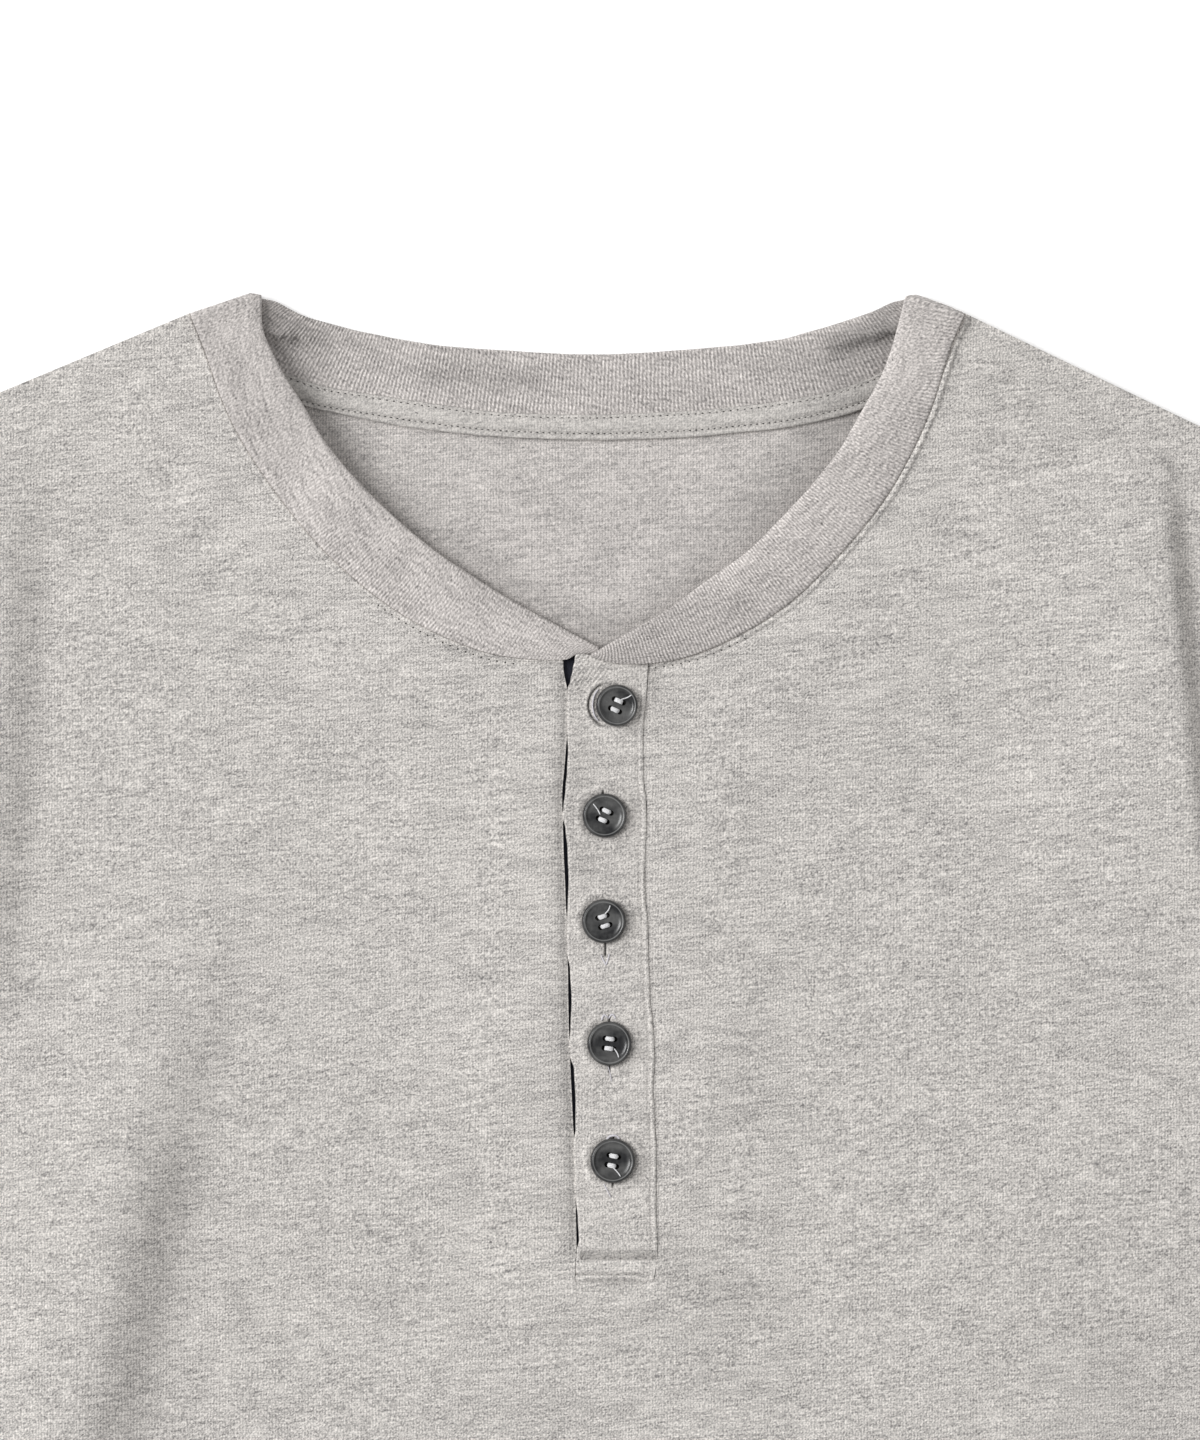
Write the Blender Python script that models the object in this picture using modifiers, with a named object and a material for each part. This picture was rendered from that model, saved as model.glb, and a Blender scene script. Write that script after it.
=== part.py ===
"""Long-sleeved henley shirt, laid flat on its back with the sleeves brought down beside the body.

Frame: metres, +Z up. The shirt rests on z = 0, its neck points to +Y, and the wearer's left is +X.
The tables below are in millimetres. A "drop" is measured down the shirt, towards -Y, from the line
that joins the two peaks of the neck.
"""
from math import cos, hypot, pi, radians, sin

import bmesh
import bpy
from mathutils import Vector

MM = 0.001

# Driving dimensions, in millimetres.
LENGTH = 720.0              # peak of the neck to the hem
SHOULDER_HALF = 228.0       # centre line to the shoulder tip
CHEST_HALF = 272.0          # centre line to the side seam, at the underarm
WAIST_HALF = 264.0
HEM_HALF = 268.0
ACROSS_HALF = 207.0         # centre line to the armhole, at its narrowest
UNDERARM_DROP = 298.0
WAIST_DROP = 480.0
SLEEVE_LENGTH = 640.0       # shoulder tip to the sleeve's hem
SLEEVE_ANGLE = 48.0         # degrees below the horizontal
SLEEVE_HEM_WIDTH = 98.0
SLEEVE_SPREAD = 90.0        # how squarely the sleeve leaves the lower armhole before it turns down
PLACKET_TOP = 100.0         # drop of the placket's top
PLACKET_BOTTOM = 267.0

JERSEY = 1.2                # wall of the body cloth
RIB = 2.0                   # wall of the doubled rib of the neckband
GAP = 0.3                   # between pieces that are sewn together or lie on each other
ARMHOLE_GAP = 0.5           # along the curved armholes
NECK_GAP = 0.45             # along the curved front neckline
BACK_TOP = JERSEY
FRONT_FLOOR = BACK_TOP + GAP                    # underside of the front, where it lies on the back
TRIM_LIFT = 1.5                                 # how much the placket and neckband raise the front
TRIM_FLOOR = FRONT_FLOOR + TRIM_LIFT            # underside of the front beside the placket
TRIM_REACH = 48.0                               # distance in which that rise dies out
SHOULDER_REACH = 22.0                           # distance in which it starts below the shoulder seam
BELOW_PLACKET = {"start": 4.0, "reach": 40.0}   # where it ends under the placket
TURN_RADIUS = 1.4                               # the neckband's turn from front to back
PEAK_PULL = 2.4                                 # how far the turn's outermost line stops short of its free edge
PEAK_ROUNDING = 0.3                             # the neck's rounded peaks start about this far below drop 0
CENTRE_DROP = (LENGTH + PEAK_ROUNDING) / 2

# The front's grid: rows beside the neck and below the placket, columns before and after the armhole's
# fold, and the places of the columns beside that fold, which moves out on its way down.
NECK_ROWS = 13
LOWER_ROWS = 12
INNER_COLUMNS = 9
OUTER_COLUMNS = 4
FOLD_PLACES = (-20, -12, -5, 0, 4, 9, 15)
FOLD_DRIFT = {"from_drop": 75, "over": 200, "slope": 0.07}

# The armhole, as steps from the shoulder tip, from its narrowest place and from the underarm.
ARMHOLE = {
    "upper": {"in": 13, "down": 45},
    "narrowest": {"down": 104},
    "lower": {"out": 7, "down": 158},
    "underarm": {"in": 33, "up": 28},
}

# One row for each side: the outer end of the shoulder line hangs a little lower on the wearer's left.
SIDES = {
    "left": {"sign": 1, "shoulder_drop": 66.0, "fold_x": 161.0},
    "right": {"sign": -1, "shoulder_drop": 57.0, "fold_x": 152.0},
}

# The turn of the neckband at each shoulder: where its seam and its free edge meet the outline.
NECK_TURNS = {
    "left": {"seam": (103.4, 5.9), "free": (87.9, -0.05)},
    "right": {"seam": (-105.8, 5.9), "free": (-87.2, -0.37)},
}

# The neckband down the front: seam x, seam drop, free edge x, free edge drop, and mid heights of both.
BAND_WEARERS_RIGHT = (
    (-101.6, 16.5, -85.9, 10.8, 3.9, 4.2),
    (-97.2, 28.9, -81.3, 20.8, 4.0, 6.2),
    (-91.9, 40.0, -75.2, 30.8, 4.0, 8.0),
    (-84.6, 51.3, -69.4, 40.5, 4.0, 8.8),
    (-77.2, 61.2, -62.6, 49.0, 4.0, 8.8),
    (-67.0, 72.5, -53.5, 58.3, 4.0, 8.0),
    (-53.8, 83.7, -42.4, 68.0, 4.0, 6.8),
    (-41.0, 91.5, -31.6, 75.6, 4.0, 5.6),
    (-27.5, 97.1, -21.3, 82.1, 4.0, 4.6),
    (-16.7, 99.2, -13.2, 86.7, 4.0, 4.3),
    (-5.1, 99.6, -3.0, 92.2, 4.0, 4.0),
    (-1.4, 98.2, 1.2, 94.4, 4.0, 4.0),
    (4.3, 98.0, 4.6, 96.2, 4.0, 4.0),
)
BAND_WEARERS_LEFT = (
    (100.1, 13.6, 85.6, 7.8, 3.9, 4.1),
    (97.5, 21.3, 83.7, 14.9, 4.0, 4.6),
    (94.2, 31.6, 80.5, 23.2, 4.0, 5.0),
    (89.6, 42.1, 75.9, 31.6, 4.0, 5.4),
    (83.2, 53.7, 69.9, 42.0, 4.0, 5.6),
    (75.6, 64.0, 62.9, 51.3, 4.0, 5.6),
    (66.7, 74.0, 53.7, 61.3, 4.0, 5.4),
    (55.4, 84.6, 43.7, 71.0, 4.0, 5.2),
    (42.3, 92.9, 32.9, 78.7, 4.1, 5.2),
    (29.7, 98.3, 22.4, 86.5, 4.4, 5.3),
    (19.7, 100.4, 14.6, 91.0, 4.9, 5.6),
    (10.3, 100.6, 7.8, 94.9, 5.8, 6.1),
    (2.6, 98.9, 2.4, 98.1, 6.4, 6.4),
)

# The back of the neck from one shoulder to the other, as x and drop: the seam, the free edge, and the
# tape's lower edge.
BACK_SEAM = (
    (-105.0, 8.2), (-98.0, 12.6), (-90.0, 17.6), (-80.0, 22.6), (-70.2, 26.0), (-60.0, 27.8), (-50.8, 29.2),
    (-35.4, 31.5), (-22.1, 33.1), (1.9, 33.75), (26.5, 32.9), (42.9, 31.5), (58.9, 29.3), (70.2, 26.7),
    (78.6, 23.5), (90.0, 17.2), (97.0, 12.2), (102.5, 8.1),
)
BACK_FREE = (
    (-86.4, 1.9), (-84.2, 2.2), (-81.5, 3.4), (-76.1, 6.2), (-70.7, 8.0), (-62.6, 10.1), (-54.5, 11.9),
    (-41.0, 14.3), (-28.9, 15.4), (1.9, 17.0), (30.0, 15.6), (53.5, 13.0), (61.6, 10.8), (69.7, 8.4),
    (77.8, 5.7), (83.2, 3.2), (85.6, 2.2), (87.4, 2.1),
)
TAPE_LOWER = (
    (-94.0, 21.6), (-86.0, 26.4), (-75.3, 30.9), (-65.3, 33.2), (-50.8, 36.1), (-35.4, 38.2), (-22.1, 39.4),
    (1.9, 40.2), (26.5, 39.6), (42.9, 38.2), (54.8, 36.9), (65.6, 34.8), (75.6, 32.0), (86.0, 26.6), (94.0, 21.6),
)
FREE_CROWDING = 2.6         # the free edge falls behind the seam only near the shoulders: power of that share
BACK_STEPS = 20             # rings of the neckband and edges of the back along the back neck
BAND_STEPS = 22             # rings of the neckband down each front
TAPE_STEPS = 18
TAPE_REACH = 94.0           # half of its length across the shirt
TAPE_THICKNESS = 1.0

# The placket: drop, edge of the wearer's right front, left and right edges of the top strip.
PLACKET = (
    (101.3, -5.2, -2.5, 17.8),
    (110.0, -4.5, -4.1, 17.4),
    (122.0, -4.6, -3.9, 16.6),
    (137.0, -5.5, -4.9, 17.2),
    (152.0, -5.1, -4.0, 17.2),
    (168.0, -4.5, -4.1, 17.6),
    (183.0, -4.2, -3.4, 18.2),
    (198.0, -3.9, -3.5, 19.2),
    (215.0, -3.1, -1.9, 19.3),
    (233.0, -2.3, -1.9, 20.2),
    (250.0, -1.9, -1.2, 20.2),
    (267.0, -2.2, -1.9, 20.3),
)
# The top strip's edges above those rows, where it narrows beside the neckband: drop, left and right
# edges, and how much lower the right edge is.
STRIP_TOP = (
    (99.3, -1.6, 4.2, 0.4),
    (100.4, -2.2, 9.6, 0.4),
)
UNDER_STRIP = {"left": -9.5, "right": 14.5, "top": 98.7, "bottom": 262.0}

# Buttons: x, drop, and tilt in degrees about the shirt's length.
BUTTONS = (
    (9.3, 111.9, 5.0),
    (6.1, 141.6, 0.0),
    (5.9, 170.1, 0.0),
    (7.4, 203.1, 0.0),
    (8.3, 234.7, 0.0),
)
BUTTON = {"diameter": 12.0, "height": 2.4, "hole_radius": 0.65, "hole_place": 1.3, "hole_sides": 6, "steps": 20}
# Half of a button's section: share of its radius, and height as a share of its own.
BUTTON_SECTION = (
    (0.0, 0.62), (0.60, 0.62), (0.74, 0.72), (0.84, 1.0), (0.93, 0.94), (1.0, 0.58), (0.97, 0.29), (0.72, 0.0),
    (0.0, 0.0),
)

# Folds of the front: start x and drop, bend x and drop, end x and drop, height, and how far each
# reaches towards -X and towards +X from its crest. A fold rises and dies out in FOLD_ENDS of its length.
FOLD_ENDS = 0.3
FOLD_STEPS = 20
FOLD_SHOULDER = 18.0        # folds start this far below the shoulder seam
FOLD_SIDE = 0.10            # and die out in this share of a row before its outer end
FOLDS = (
    ("armhole roll, wearer's left", 153, 34, 158, 98, 172, 205, 5.5, 26, 8),
    ("far side of that roll", 187, 56, 182, 122, 200, 226, 3.5, 13, 22),
    ("armhole roll, wearer's right", -160, 36, -154, 108, -168, 214, 4.0, 20, 15),
    ("ridge towards the waist, wearer's right", -100, 132, -119, 236, -176, 384, 4.5, 28, 24),
    ("ridge towards the waist, wearer's left", 128, 300, 148, 400, 214, 548, 4.0, 26, 26),
    ("pull from the underarm, wearer's left", 266, 300, 236, 338, 190, 372, 4.5, 15, 15),
    ("pull from the underarm, wearer's right", -266, 296, -240, 330, -206, 356, 4.5, 15, 15),
    ("ridge above the hem, wearer's right", -62, 420, -92, 528, -78, 676, 3.5, 26, 26),
    ("ridge above the hem, wearer's left", 54, 480, 76, 572, 118, 694, 3.5, 26, 26),
)

# A sleeve's section: height, width of its rounded edges, wall in them, least space between its walls,
# its corners' places across as shares, and the lower side's.
SLEEVE_HEIGHT = 2 * JERSEY + 0.6
SLEEVE_ROUND = 3.0
SLEEVE_EDGE = 2.0
SLEEVE_SPACE = 0.2
SLEEVE_ROWS = 20
SLEEVE_ACROSS = (0.0, 0.02, 0.09, 0.16, 0.23, 0.30, 0.37, 0.44, 0.51, 0.58, 0.65, 0.72, 0.79, 0.86, 0.93, 0.98, 1.0)
SLEEVE_UNDER = (0.98, 0.5, 0.02)
SLEEVE_TOP_DROP = 62.0      # drop of the outer end of the shoulder, which both sleeves' length starts from
SLEEVE_TURN = 0.8           # share across the armhole in which the sleeve comes to spread fully

# Folds of a sleeve: place along it, place across it, reach along it, reach across it (all as
# shares), and height.
SLEEVE_FOLDS = (
    (0.10, 0.62, 0.05, 0.42, 3.0),
    (0.20, 0.30, 0.05, 0.34, 2.4),
    (0.44, 0.66, 0.045, 0.40, 3.2),
    (0.53, 0.42, 0.045, 0.44, 2.8),
    (0.62, 0.70, 0.045, 0.34, 2.6),
    (0.84, 0.40, 0.05, 0.38, 2.0),
)

COLOURS = {
    "grey_jersey": ((0.53, 0.51, 0.485), 0.9),
    "grey_rib": ((0.50, 0.475, 0.45), 0.9),
    "navy_cotton": ((0.018, 0.018, 0.026), 0.9),
    "button_grey": ((0.075, 0.075, 0.080), 0.3),
}


def at(x, drop, z):
    """The point in metres for millimetre places on the shirt."""
    return Vector((x, CENTRE_DROP - drop, z)) * MM


def ease(share):
    """0 to 1 with level ends."""
    share = min(max(share, 0.0), 1.0)
    return share * share * (3 - 2 * share)


def smooth_curve(rows, count):
    """Evenly spaced rows on a smooth curve through the given ones (any number of columns)."""
    rows = [Vector(row) for row in rows]
    fine = []
    steps = 12
    for i in range(len(rows) - 1):
        before = rows[max(i - 1, 0)]
        start, end = rows[i], rows[i + 1]
        after = rows[min(i + 2, len(rows) - 1)]
        for k in range(steps):
            t = k / steps
            fine.append(0.5 * (2 * start + (end - before) * t
                               + (2 * before - 5 * start + 4 * end - after) * t ** 2
                               + (3 * start - before - 3 * end + after) * t ** 3))
    fine.append(rows[-1])
    lengths = [0.0]
    for a, b in zip(fine, fine[1:]):
        lengths.append(lengths[-1] + hypot(b[0] - a[0], b[1] - a[1]))
    result = []
    k = 0
    for i in range(count):
        target = lengths[-1] * i / (count - 1)
        while k < len(lengths) - 2 and lengths[k + 1] < target:
            k += 1
        t = (target - lengths[k]) / (lengths[k + 1] - lengths[k])
        result.append(fine[k].lerp(fine[k + 1], min(t, 1.0)))
    return result


def shift_curve(points, distance):
    """A flat curve moved sideways, to the left of its own direction seen with drops pointing down."""
    result = []
    for i, point in enumerate(points):
        ahead = points[min(i + 1, len(points) - 1)] - points[max(i - 1, 0)]
        side = Vector((ahead[1], -ahead[0])).normalized()
        result.append(Vector((point[0], point[1])) + side * distance)
    return result


def material(name):
    colour, roughness = COLOURS[name]
    finish = bpy.data.materials.get(name) or bpy.data.materials.new(name)
    finish.use_nodes = True
    shader = finish.node_tree.nodes["Principled BSDF"]
    shader.inputs["Base Color"].default_value = (*colour, 1.0)
    shader.inputs["Roughness"].default_value = roughness
    return finish


def add_piece(name, mesh, finish):
    piece = bpy.data.objects.new(name, mesh)
    piece.data.materials.append(material(finish))
    bpy.data.collections["henley_shirt"].objects.link(piece)
    return piece


def loft(name, rings, finish, closed=False):
    """A solid through rings of equal size: capped at both ends, or closed into a loop of rings."""
    shape = bmesh.new()
    loops = [[shape.verts.new(point) for point in ring] for ring in rings]
    size = len(rings[0])
    pairs = list(zip(loops, loops[1:]))
    if closed:
        pairs.append((loops[-1], loops[0]))
    for near, far in pairs:
        for i in range(size):
            j = (i + 1) % size
            shape.faces.new((near[i], near[j], far[j], far[i]))
    if not closed:
        shape.faces.new(loops[0])
        shape.faces.new(loops[-1])
    bmesh.ops.recalc_face_normals(shape, faces=shape.faces)
    bmesh.ops.triangulate(shape, faces=shape.faces)
    mesh = bpy.data.meshes.new(name)
    shape.to_mesh(mesh)
    shape.free()
    return add_piece(name, mesh, finish)


def fold_height(x, drop):
    """Height that the folds give the front at a place."""
    total = 0.0
    for _, x0, d0, x1, d1, x2, d2, height, reach_minus, reach_plus in FOLDS:
        nearest = None
        for k in range(FOLD_STEPS + 1):
            t = k / FOLD_STEPS
            crest_x = (1 - t) ** 2 * x0 + 2 * t * (1 - t) * x1 + t * t * x2
            crest_drop = (1 - t) ** 2 * d0 + 2 * t * (1 - t) * d1 + t * t * d2
            away = hypot(x - crest_x, drop - crest_drop)
            if nearest is None or away < nearest[0]:
                nearest = (away, t, x - crest_x)
        away, t, side = nearest
        reach = reach_plus if side > 0 else reach_minus
        if away < reach:
            along = ease(t / FOLD_ENDS) * ease((1 - t) / FOLD_ENDS)
            total += height * along * cos(pi / 2 * away / reach) ** 2
    return total


def point_along(line, share):
    """The point at a share of a line of points."""
    lengths = [0.0]
    for a, b in zip(line, line[1:]):
        lengths.append(lengths[-1] + (b - a).length)
    target = min(max(share, 0.0), 1.0) * lengths[-1]
    k = 0
    while k < len(lengths) - 2 and lengths[k + 1] < target:
        k += 1
    return line[k].lerp(line[k + 1], min((target - lengths[k]) / (lengths[k + 1] - lengths[k]), 1.0))


def neck_seam(side):
    """The front neckline of one side, from the shoulder to the placket, as x and drop."""
    if side == "left":
        rows = [row[:2] for row in BAND_WEARERS_LEFT if row[0] > 25]
        rows.append((PLACKET[0][3] + 1.4, PLACKET_TOP + 0.45))
    else:
        rows = [row[:2] for row in BAND_WEARERS_RIGHT if row[0] < -5]
    return [NECK_TURNS[side]["seam"]] + rows


def armhole(side):
    """The armhole of one side, from the shoulder tip to the underarm."""
    sign = SIDES[side]["sign"]
    top = SIDES[side]["shoulder_drop"]
    upper, narrowest, lower, under = (ARMHOLE[name] for name in ("upper", "narrowest", "lower", "underarm"))
    rows = (
        (SHOULDER_HALF, top),
        (SHOULDER_HALF - upper["in"], top + upper["down"]),
        (ACROSS_HALF, top + narrowest["down"]),
        (ACROSS_HALF + lower["out"], top + lower["down"]),
        (CHEST_HALF - under["in"], UNDERARM_DROP - under["up"]),
        (CHEST_HALF, UNDERARM_DROP),
    )
    return [(sign * x, drop) for x, drop in rows]


def outer_edge(side, count):
    """Armhole and side seam in one curve, from the shoulder tip to the hem."""
    sign = SIDES[side]["sign"]
    arm = [Vector(point) for point in smooth_curve(armhole(side), 26)]
    seam = [Vector((sign * x, drop)) for x, drop in (
        (CHEST_HALF, UNDERARM_DROP), (WAIST_HALF, WAIST_DROP), (HEM_HALF, LENGTH))]
    return arm, smooth_curve(seam, count)


def row_ends(side):
    """For each row of the front: its inner point, on the neck, placket or centre, and its outer one."""
    sign = SIDES[side]["sign"]
    placket_column = 3 if side == "left" else 1
    clear = GAP if side == "left" else 0.0
    inner = shift_curve(smooth_curve(neck_seam(side), NECK_ROWS), NECK_GAP * sign)
    inner[0] = Vector((NECK_TURNS[side]["seam"][0] + sign * GAP, NECK_TURNS[side]["seam"][1]))
    for row in PLACKET:
        inner.append(Vector((row[placket_column] + clear, row[0])))
    last = inner[-1]
    last[1] = PLACKET_BOTTOM + GAP
    for i in range(1, LOWER_ROWS + 1):
        inner.append(Vector((last[0], last[1] + (LENGTH - last[1]) * i / LOWER_ROWS)))

    arm, seam = outer_edge(side, 30)
    outline = arm + seam[1:]
    # rows reach the outline at shares of its length: beside the neck, beside the placket, and below it
    shares = ((0, 0.0), (NECK_ROWS, 0.23), (NECK_ROWS + len(PLACKET), 0.43), (len(inner) - 1, 1.0))
    outer = []
    for i in range(len(inner)):
        for (i0, s0), (i1, s1) in zip(shares, shares[1:]):
            if i <= i1:
                outer.append(point_along(outline, s0 + (s1 - s0) * (i - i0) / (i1 - i0)))
                break
    return inner, outer


def front_height(x, drop, from_trim, from_shoulder, outer_share):
    """Underside of the front at a place."""
    lift = TRIM_LIFT * (1 - ease(from_trim / TRIM_REACH)) * ease(from_shoulder / SHOULDER_REACH)
    lift *= 1 - ease((drop - PLACKET_BOTTOM - BELOW_PLACKET["start"]) / BELOW_PLACKET["reach"])
    settled = ease((1 - outer_share) / FOLD_SIDE)
    return FRONT_FLOOR + lift + fold_height(x, drop) * settled * ease(from_shoulder / FOLD_SHOULDER)


def column_places(first, fold, last):
    """Distances from the centre line of a row's columns, closer together beside the armhole's fold."""
    start, end = fold + FOLD_PLACES[0], fold + FOLD_PLACES[-1]
    places = [first + (start - first) * j / INNER_COLUMNS for j in range(INNER_COLUMNS)]
    places += [fold + offset for offset in FOLD_PLACES]
    places += [end + (last - end) * j / OUTER_COLUMNS for j in range(1, OUTER_COLUMNS + 1)]
    return places


def front_half(shape, side):
    """Rows of vertices of one half of the front, from the neck, placket or centre to the outside."""
    sign = SIDES[side]["sign"]
    inner, outer = row_ends(side)
    shoulder_slope = (outer[0][1] - inner[0][1]) / (abs(outer[0][0]) - abs(inner[0][0]))
    grid = []
    for start, end in zip(inner, outer):
        middle = (start[1] + end[1]) / 2
        drift = min(max(middle - FOLD_DRIFT["from_drop"], 0), FOLD_DRIFT["over"]) * FOLD_DRIFT["slope"]
        first, last = sign * start[0], sign * end[0]
        line = []
        for place in column_places(first, SIDES[side]["fold_x"] + drift, last):
            share = (place - first) / (last - first)
            drop = start[1] + (end[1] - start[1]) * share
            from_shoulder = drop - inner[0][1] - shoulder_slope * (place - abs(inner[0][0]))
            from_trim = (end - start).length * share
            height = front_height(sign * place, drop, from_trim, from_shoulder, share)
            line.append(shape.verts.new(at(sign * place, drop, height)))
        grid.append(line)
    return grid


def stitch(shape, near, far):
    """Faces between two rows of vertices of equal length, pointing up."""
    for a, b, c, d in zip(near, near[1:], far[1:], far):
        face = shape.faces.new((a, b, c, d))
        face.normal_update()
        if face.normal.z < 0:
            face.normal_flip()


def front():
    """The front: two halves that join below the placket, thickened upwards from their underside."""
    shape = bmesh.new()
    halves = {side: front_half(shape, side) for side in SIDES}
    for grid in halves.values():
        for near, far in zip(grid, grid[1:]):
            stitch(shape, near, far)
    first_joined = NECK_ROWS + len(PLACKET) - 1
    bridge = []
    for near, far in zip(halves["right"][first_joined:], halves["left"][first_joined:]):
        middle = shape.verts.new((near[0].co + far[0].co) / 2)
        bridge.append((near[0], middle, far[0]))
    for near, far in zip(bridge, bridge[1:]):
        stitch(shape, near, far)
    mesh = bpy.data.meshes.new("front")
    shape.to_mesh(mesh)
    shape.free()
    piece = add_piece("front", mesh, "grey_jersey")
    wall = piece.modifiers.new("wall", "SOLIDIFY")
    wall.thickness = JERSEY * MM
    wall.offset = 1
    wall.use_even_offset = True


def height_at(table, x):
    """The drop of a table's smooth curve at x."""
    for k in range(len(table) - 1):
        if x <= table[k + 1][0] or k == len(table) - 2:
            before, start, end = table[max(k - 1, 0)], table[k], table[k + 1]
            after = table[min(k + 2, len(table) - 1)]
            span = end[0] - start[0]
            t = min(max((x - start[0]) / span, 0.0), 1.0)
            near = (end[1] - before[1]) / (end[0] - before[0]) * span
            far = (after[1] - start[1]) / (after[0] - start[0]) * span
            return (start[1] * (1 + 2 * t) * (1 - t) ** 2 + end[1] * t * t * (3 - 2 * t)
                    + near * t * (1 - t) ** 2 - far * t * t * (1 - t))


def back_point(table, share):
    """A point of the back neck's seam or free edge, at a share from -1 to 1 between the shoulders."""
    seam_end = BACK_SEAM[-1][0] if share > 0 else -BACK_SEAM[0][0]
    own_end = table[-1][0] if share > 0 else -table[0][0]
    sign = 1 if share > 0 else -1
    x = share * seam_end - sign * (seam_end - own_end) * abs(share) ** FREE_CROWDING
    return Vector((x, height_at(table, x)))


def turn_corner(side):
    """Seam and free end of the neckband's turn, moved in from the outline to the turn's axis."""
    seam = Vector(NECK_TURNS[side]["seam"])
    free = Vector(NECK_TURNS[side]["free"])
    across = (free - seam).normalized()
    inward = Vector((-across[1], across[0]))
    if inward[1] < 0:
        inward = -inward
    depth = TURN_RADIUS + RIB / 2
    return seam + inward * depth, free + inward * depth, -inward


def back():
    """The back: one flat outline with the back neck cut out of its top."""
    outline = []
    for side in ("left", "right"):
        arm, seam = outer_edge(side, 9)
        corner = NECK_TURNS[side]["seam"]
        sign = SIDES[side]["sign"]
        start = Vector((corner[0] + sign * GAP, corner[1]))
        half = [start] + arm + seam[1:]
        outline += half if side == "left" else list(reversed(half))
    for k in range(-BACK_STEPS // 2, BACK_STEPS // 2 + 1):
        point = back_point(BACK_SEAM, 2 * k / BACK_STEPS)
        clear = Vector((0, GAP))
        if abs(2 * k) == BACK_STEPS:
            clear[0] = GAP if k > 0 else -GAP
        outline.append(point + clear)
    curve = bpy.data.curves.new("back", "CURVE")
    curve.dimensions = "2D"
    curve.fill_mode = "BOTH"
    curve.extrude = JERSEY / 2 * MM
    spline = curve.splines.new("POLY")
    spline.points.add(len(outline) - 1)
    for point, place in zip(spline.points, outline):
        point.co = (*at(place[0], place[1], 0), 1)
    spline.use_cyclic_u = True
    guide = bpy.data.objects.new("back_outline", curve)
    bpy.data.collections["henley_shirt"].objects.link(guide)
    guide.location.z = JERSEY / 2 * MM
    bpy.context.view_layer.update()
    mesh = bpy.data.meshes.new_from_object(guide.evaluated_get(bpy.context.evaluated_depsgraph_get()))
    mesh.transform(guide.matrix_world)
    shape = bmesh.new()
    shape.from_mesh(mesh)
    bmesh.ops.remove_doubles(shape, verts=shape.verts, dist=0.00001)
    bmesh.ops.recalc_face_normals(shape, faces=shape.faces)
    shape.to_mesh(mesh)
    shape.free()
    bpy.data.objects.remove(guide)
    add_piece("back", mesh, "grey_jersey")


def band_ring(seam, free, out):
    """Section of the neckband between its seam and its rounded free edge, with its outer side named."""
    along = (free - seam).normalized()
    out = (out - along * out.dot(along)).normalized()
    half = out * (RIB / 2 * MM)
    shoulder = free - along * (RIB / 2 * MM)
    middle = (seam + shoulder) / 2
    return [seam + half, middle + half, shoulder + half, free, shoulder - half, middle - half, seam - half]


def front_band_rings(side, table):
    """Rings of the neckband down one front, from the shoulder to the placket."""
    seam, free, _ = turn_corner(side)
    top = RIB / 2 + 2 * TURN_RADIUS
    rows = [(*seam, *free, top, top)] + list(table)
    seams = smooth_curve([(row[0], row[1], row[4]) for row in rows], BAND_STEPS)
    frees = smooth_curve([(row[2], row[3], row[5]) for row in rows], BAND_STEPS)
    rings = []
    for s, f in zip(seams, frees):
        rings.append(band_ring(at(*s), at(*f), Vector((0, 0, 1))))
    return rings


def turn_rings(side):
    """Rings of the neckband's turn over the shoulder, from the front's level to the back's."""
    seam, free, outward = turn_corner(side)
    outward = Vector((outward[0], -outward[1], 0))
    centre = RIB / 2 + TURN_RADIUS
    rings = []
    for angle in (30, 60, 90, 120, 150, 180):
        out = outward * sin(radians(angle)) + Vector((0, 0, cos(radians(angle))))
        push = out * (TURN_RADIUS * MM)
        tip = free + (seam - free).normalized() * PEAK_PULL * sin(radians(angle)) ** 4
        rings.append(band_ring(at(*seam, centre) + push, at(*tip, centre) + push, out))
    return rings


def neckband():
    """One strip of doubled rib: up the wearer's right front, round the back, down the left on top."""
    rings = list(reversed(front_band_rings("right", BAND_WEARERS_RIGHT)))
    rings += turn_rings("right")
    for k in range(-BACK_STEPS // 2 + 1, BACK_STEPS // 2):
        seam, free = (back_point(table, 2 * k / BACK_STEPS) for table in (BACK_SEAM, BACK_FREE))
        rings.append(band_ring(at(*seam, RIB / 2), at(*free, RIB / 2), Vector((0, 0, -1))))
    rings += list(reversed(turn_rings("left")))
    rings += front_band_rings("left", BAND_WEARERS_LEFT)
    loft("neckband", rings, "grey_rib")


def neck_tape():
    """Tape over the back neck's seam, on the inside of the back."""
    rings = []
    low = BACK_TOP + GAP
    for i in range(TAPE_STEPS + 1):
        x = TAPE_REACH * (2 * i / TAPE_STEPS - 1)
        upper, lower = height_at(BACK_SEAM, x) + GAP, height_at(TAPE_LOWER, x)
        rings.append([at(x, upper, low), at(x, upper, low + TAPE_THICKNESS),
                      at(x, lower, low + TAPE_THICKNESS), at(x, lower, low)])
    loft("neck_tape", rings, "grey_jersey")


def placket_top():
    """Buttonhole strip, sewn to the wearer's left front and lapped over the right."""
    rings = []
    for drop, left, right, lower in STRIP_TOP + tuple((row[0], row[2], row[3], 0.0) for row in PLACKET):
        rings.append([at(left, drop, TRIM_FLOOR), at(left, drop, TRIM_FLOOR + JERSEY),
                      at(right, drop + lower, TRIM_FLOOR + JERSEY), at(right, drop + lower, TRIM_FLOOR)])
    loft("placket_top", rings, "grey_jersey")


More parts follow.
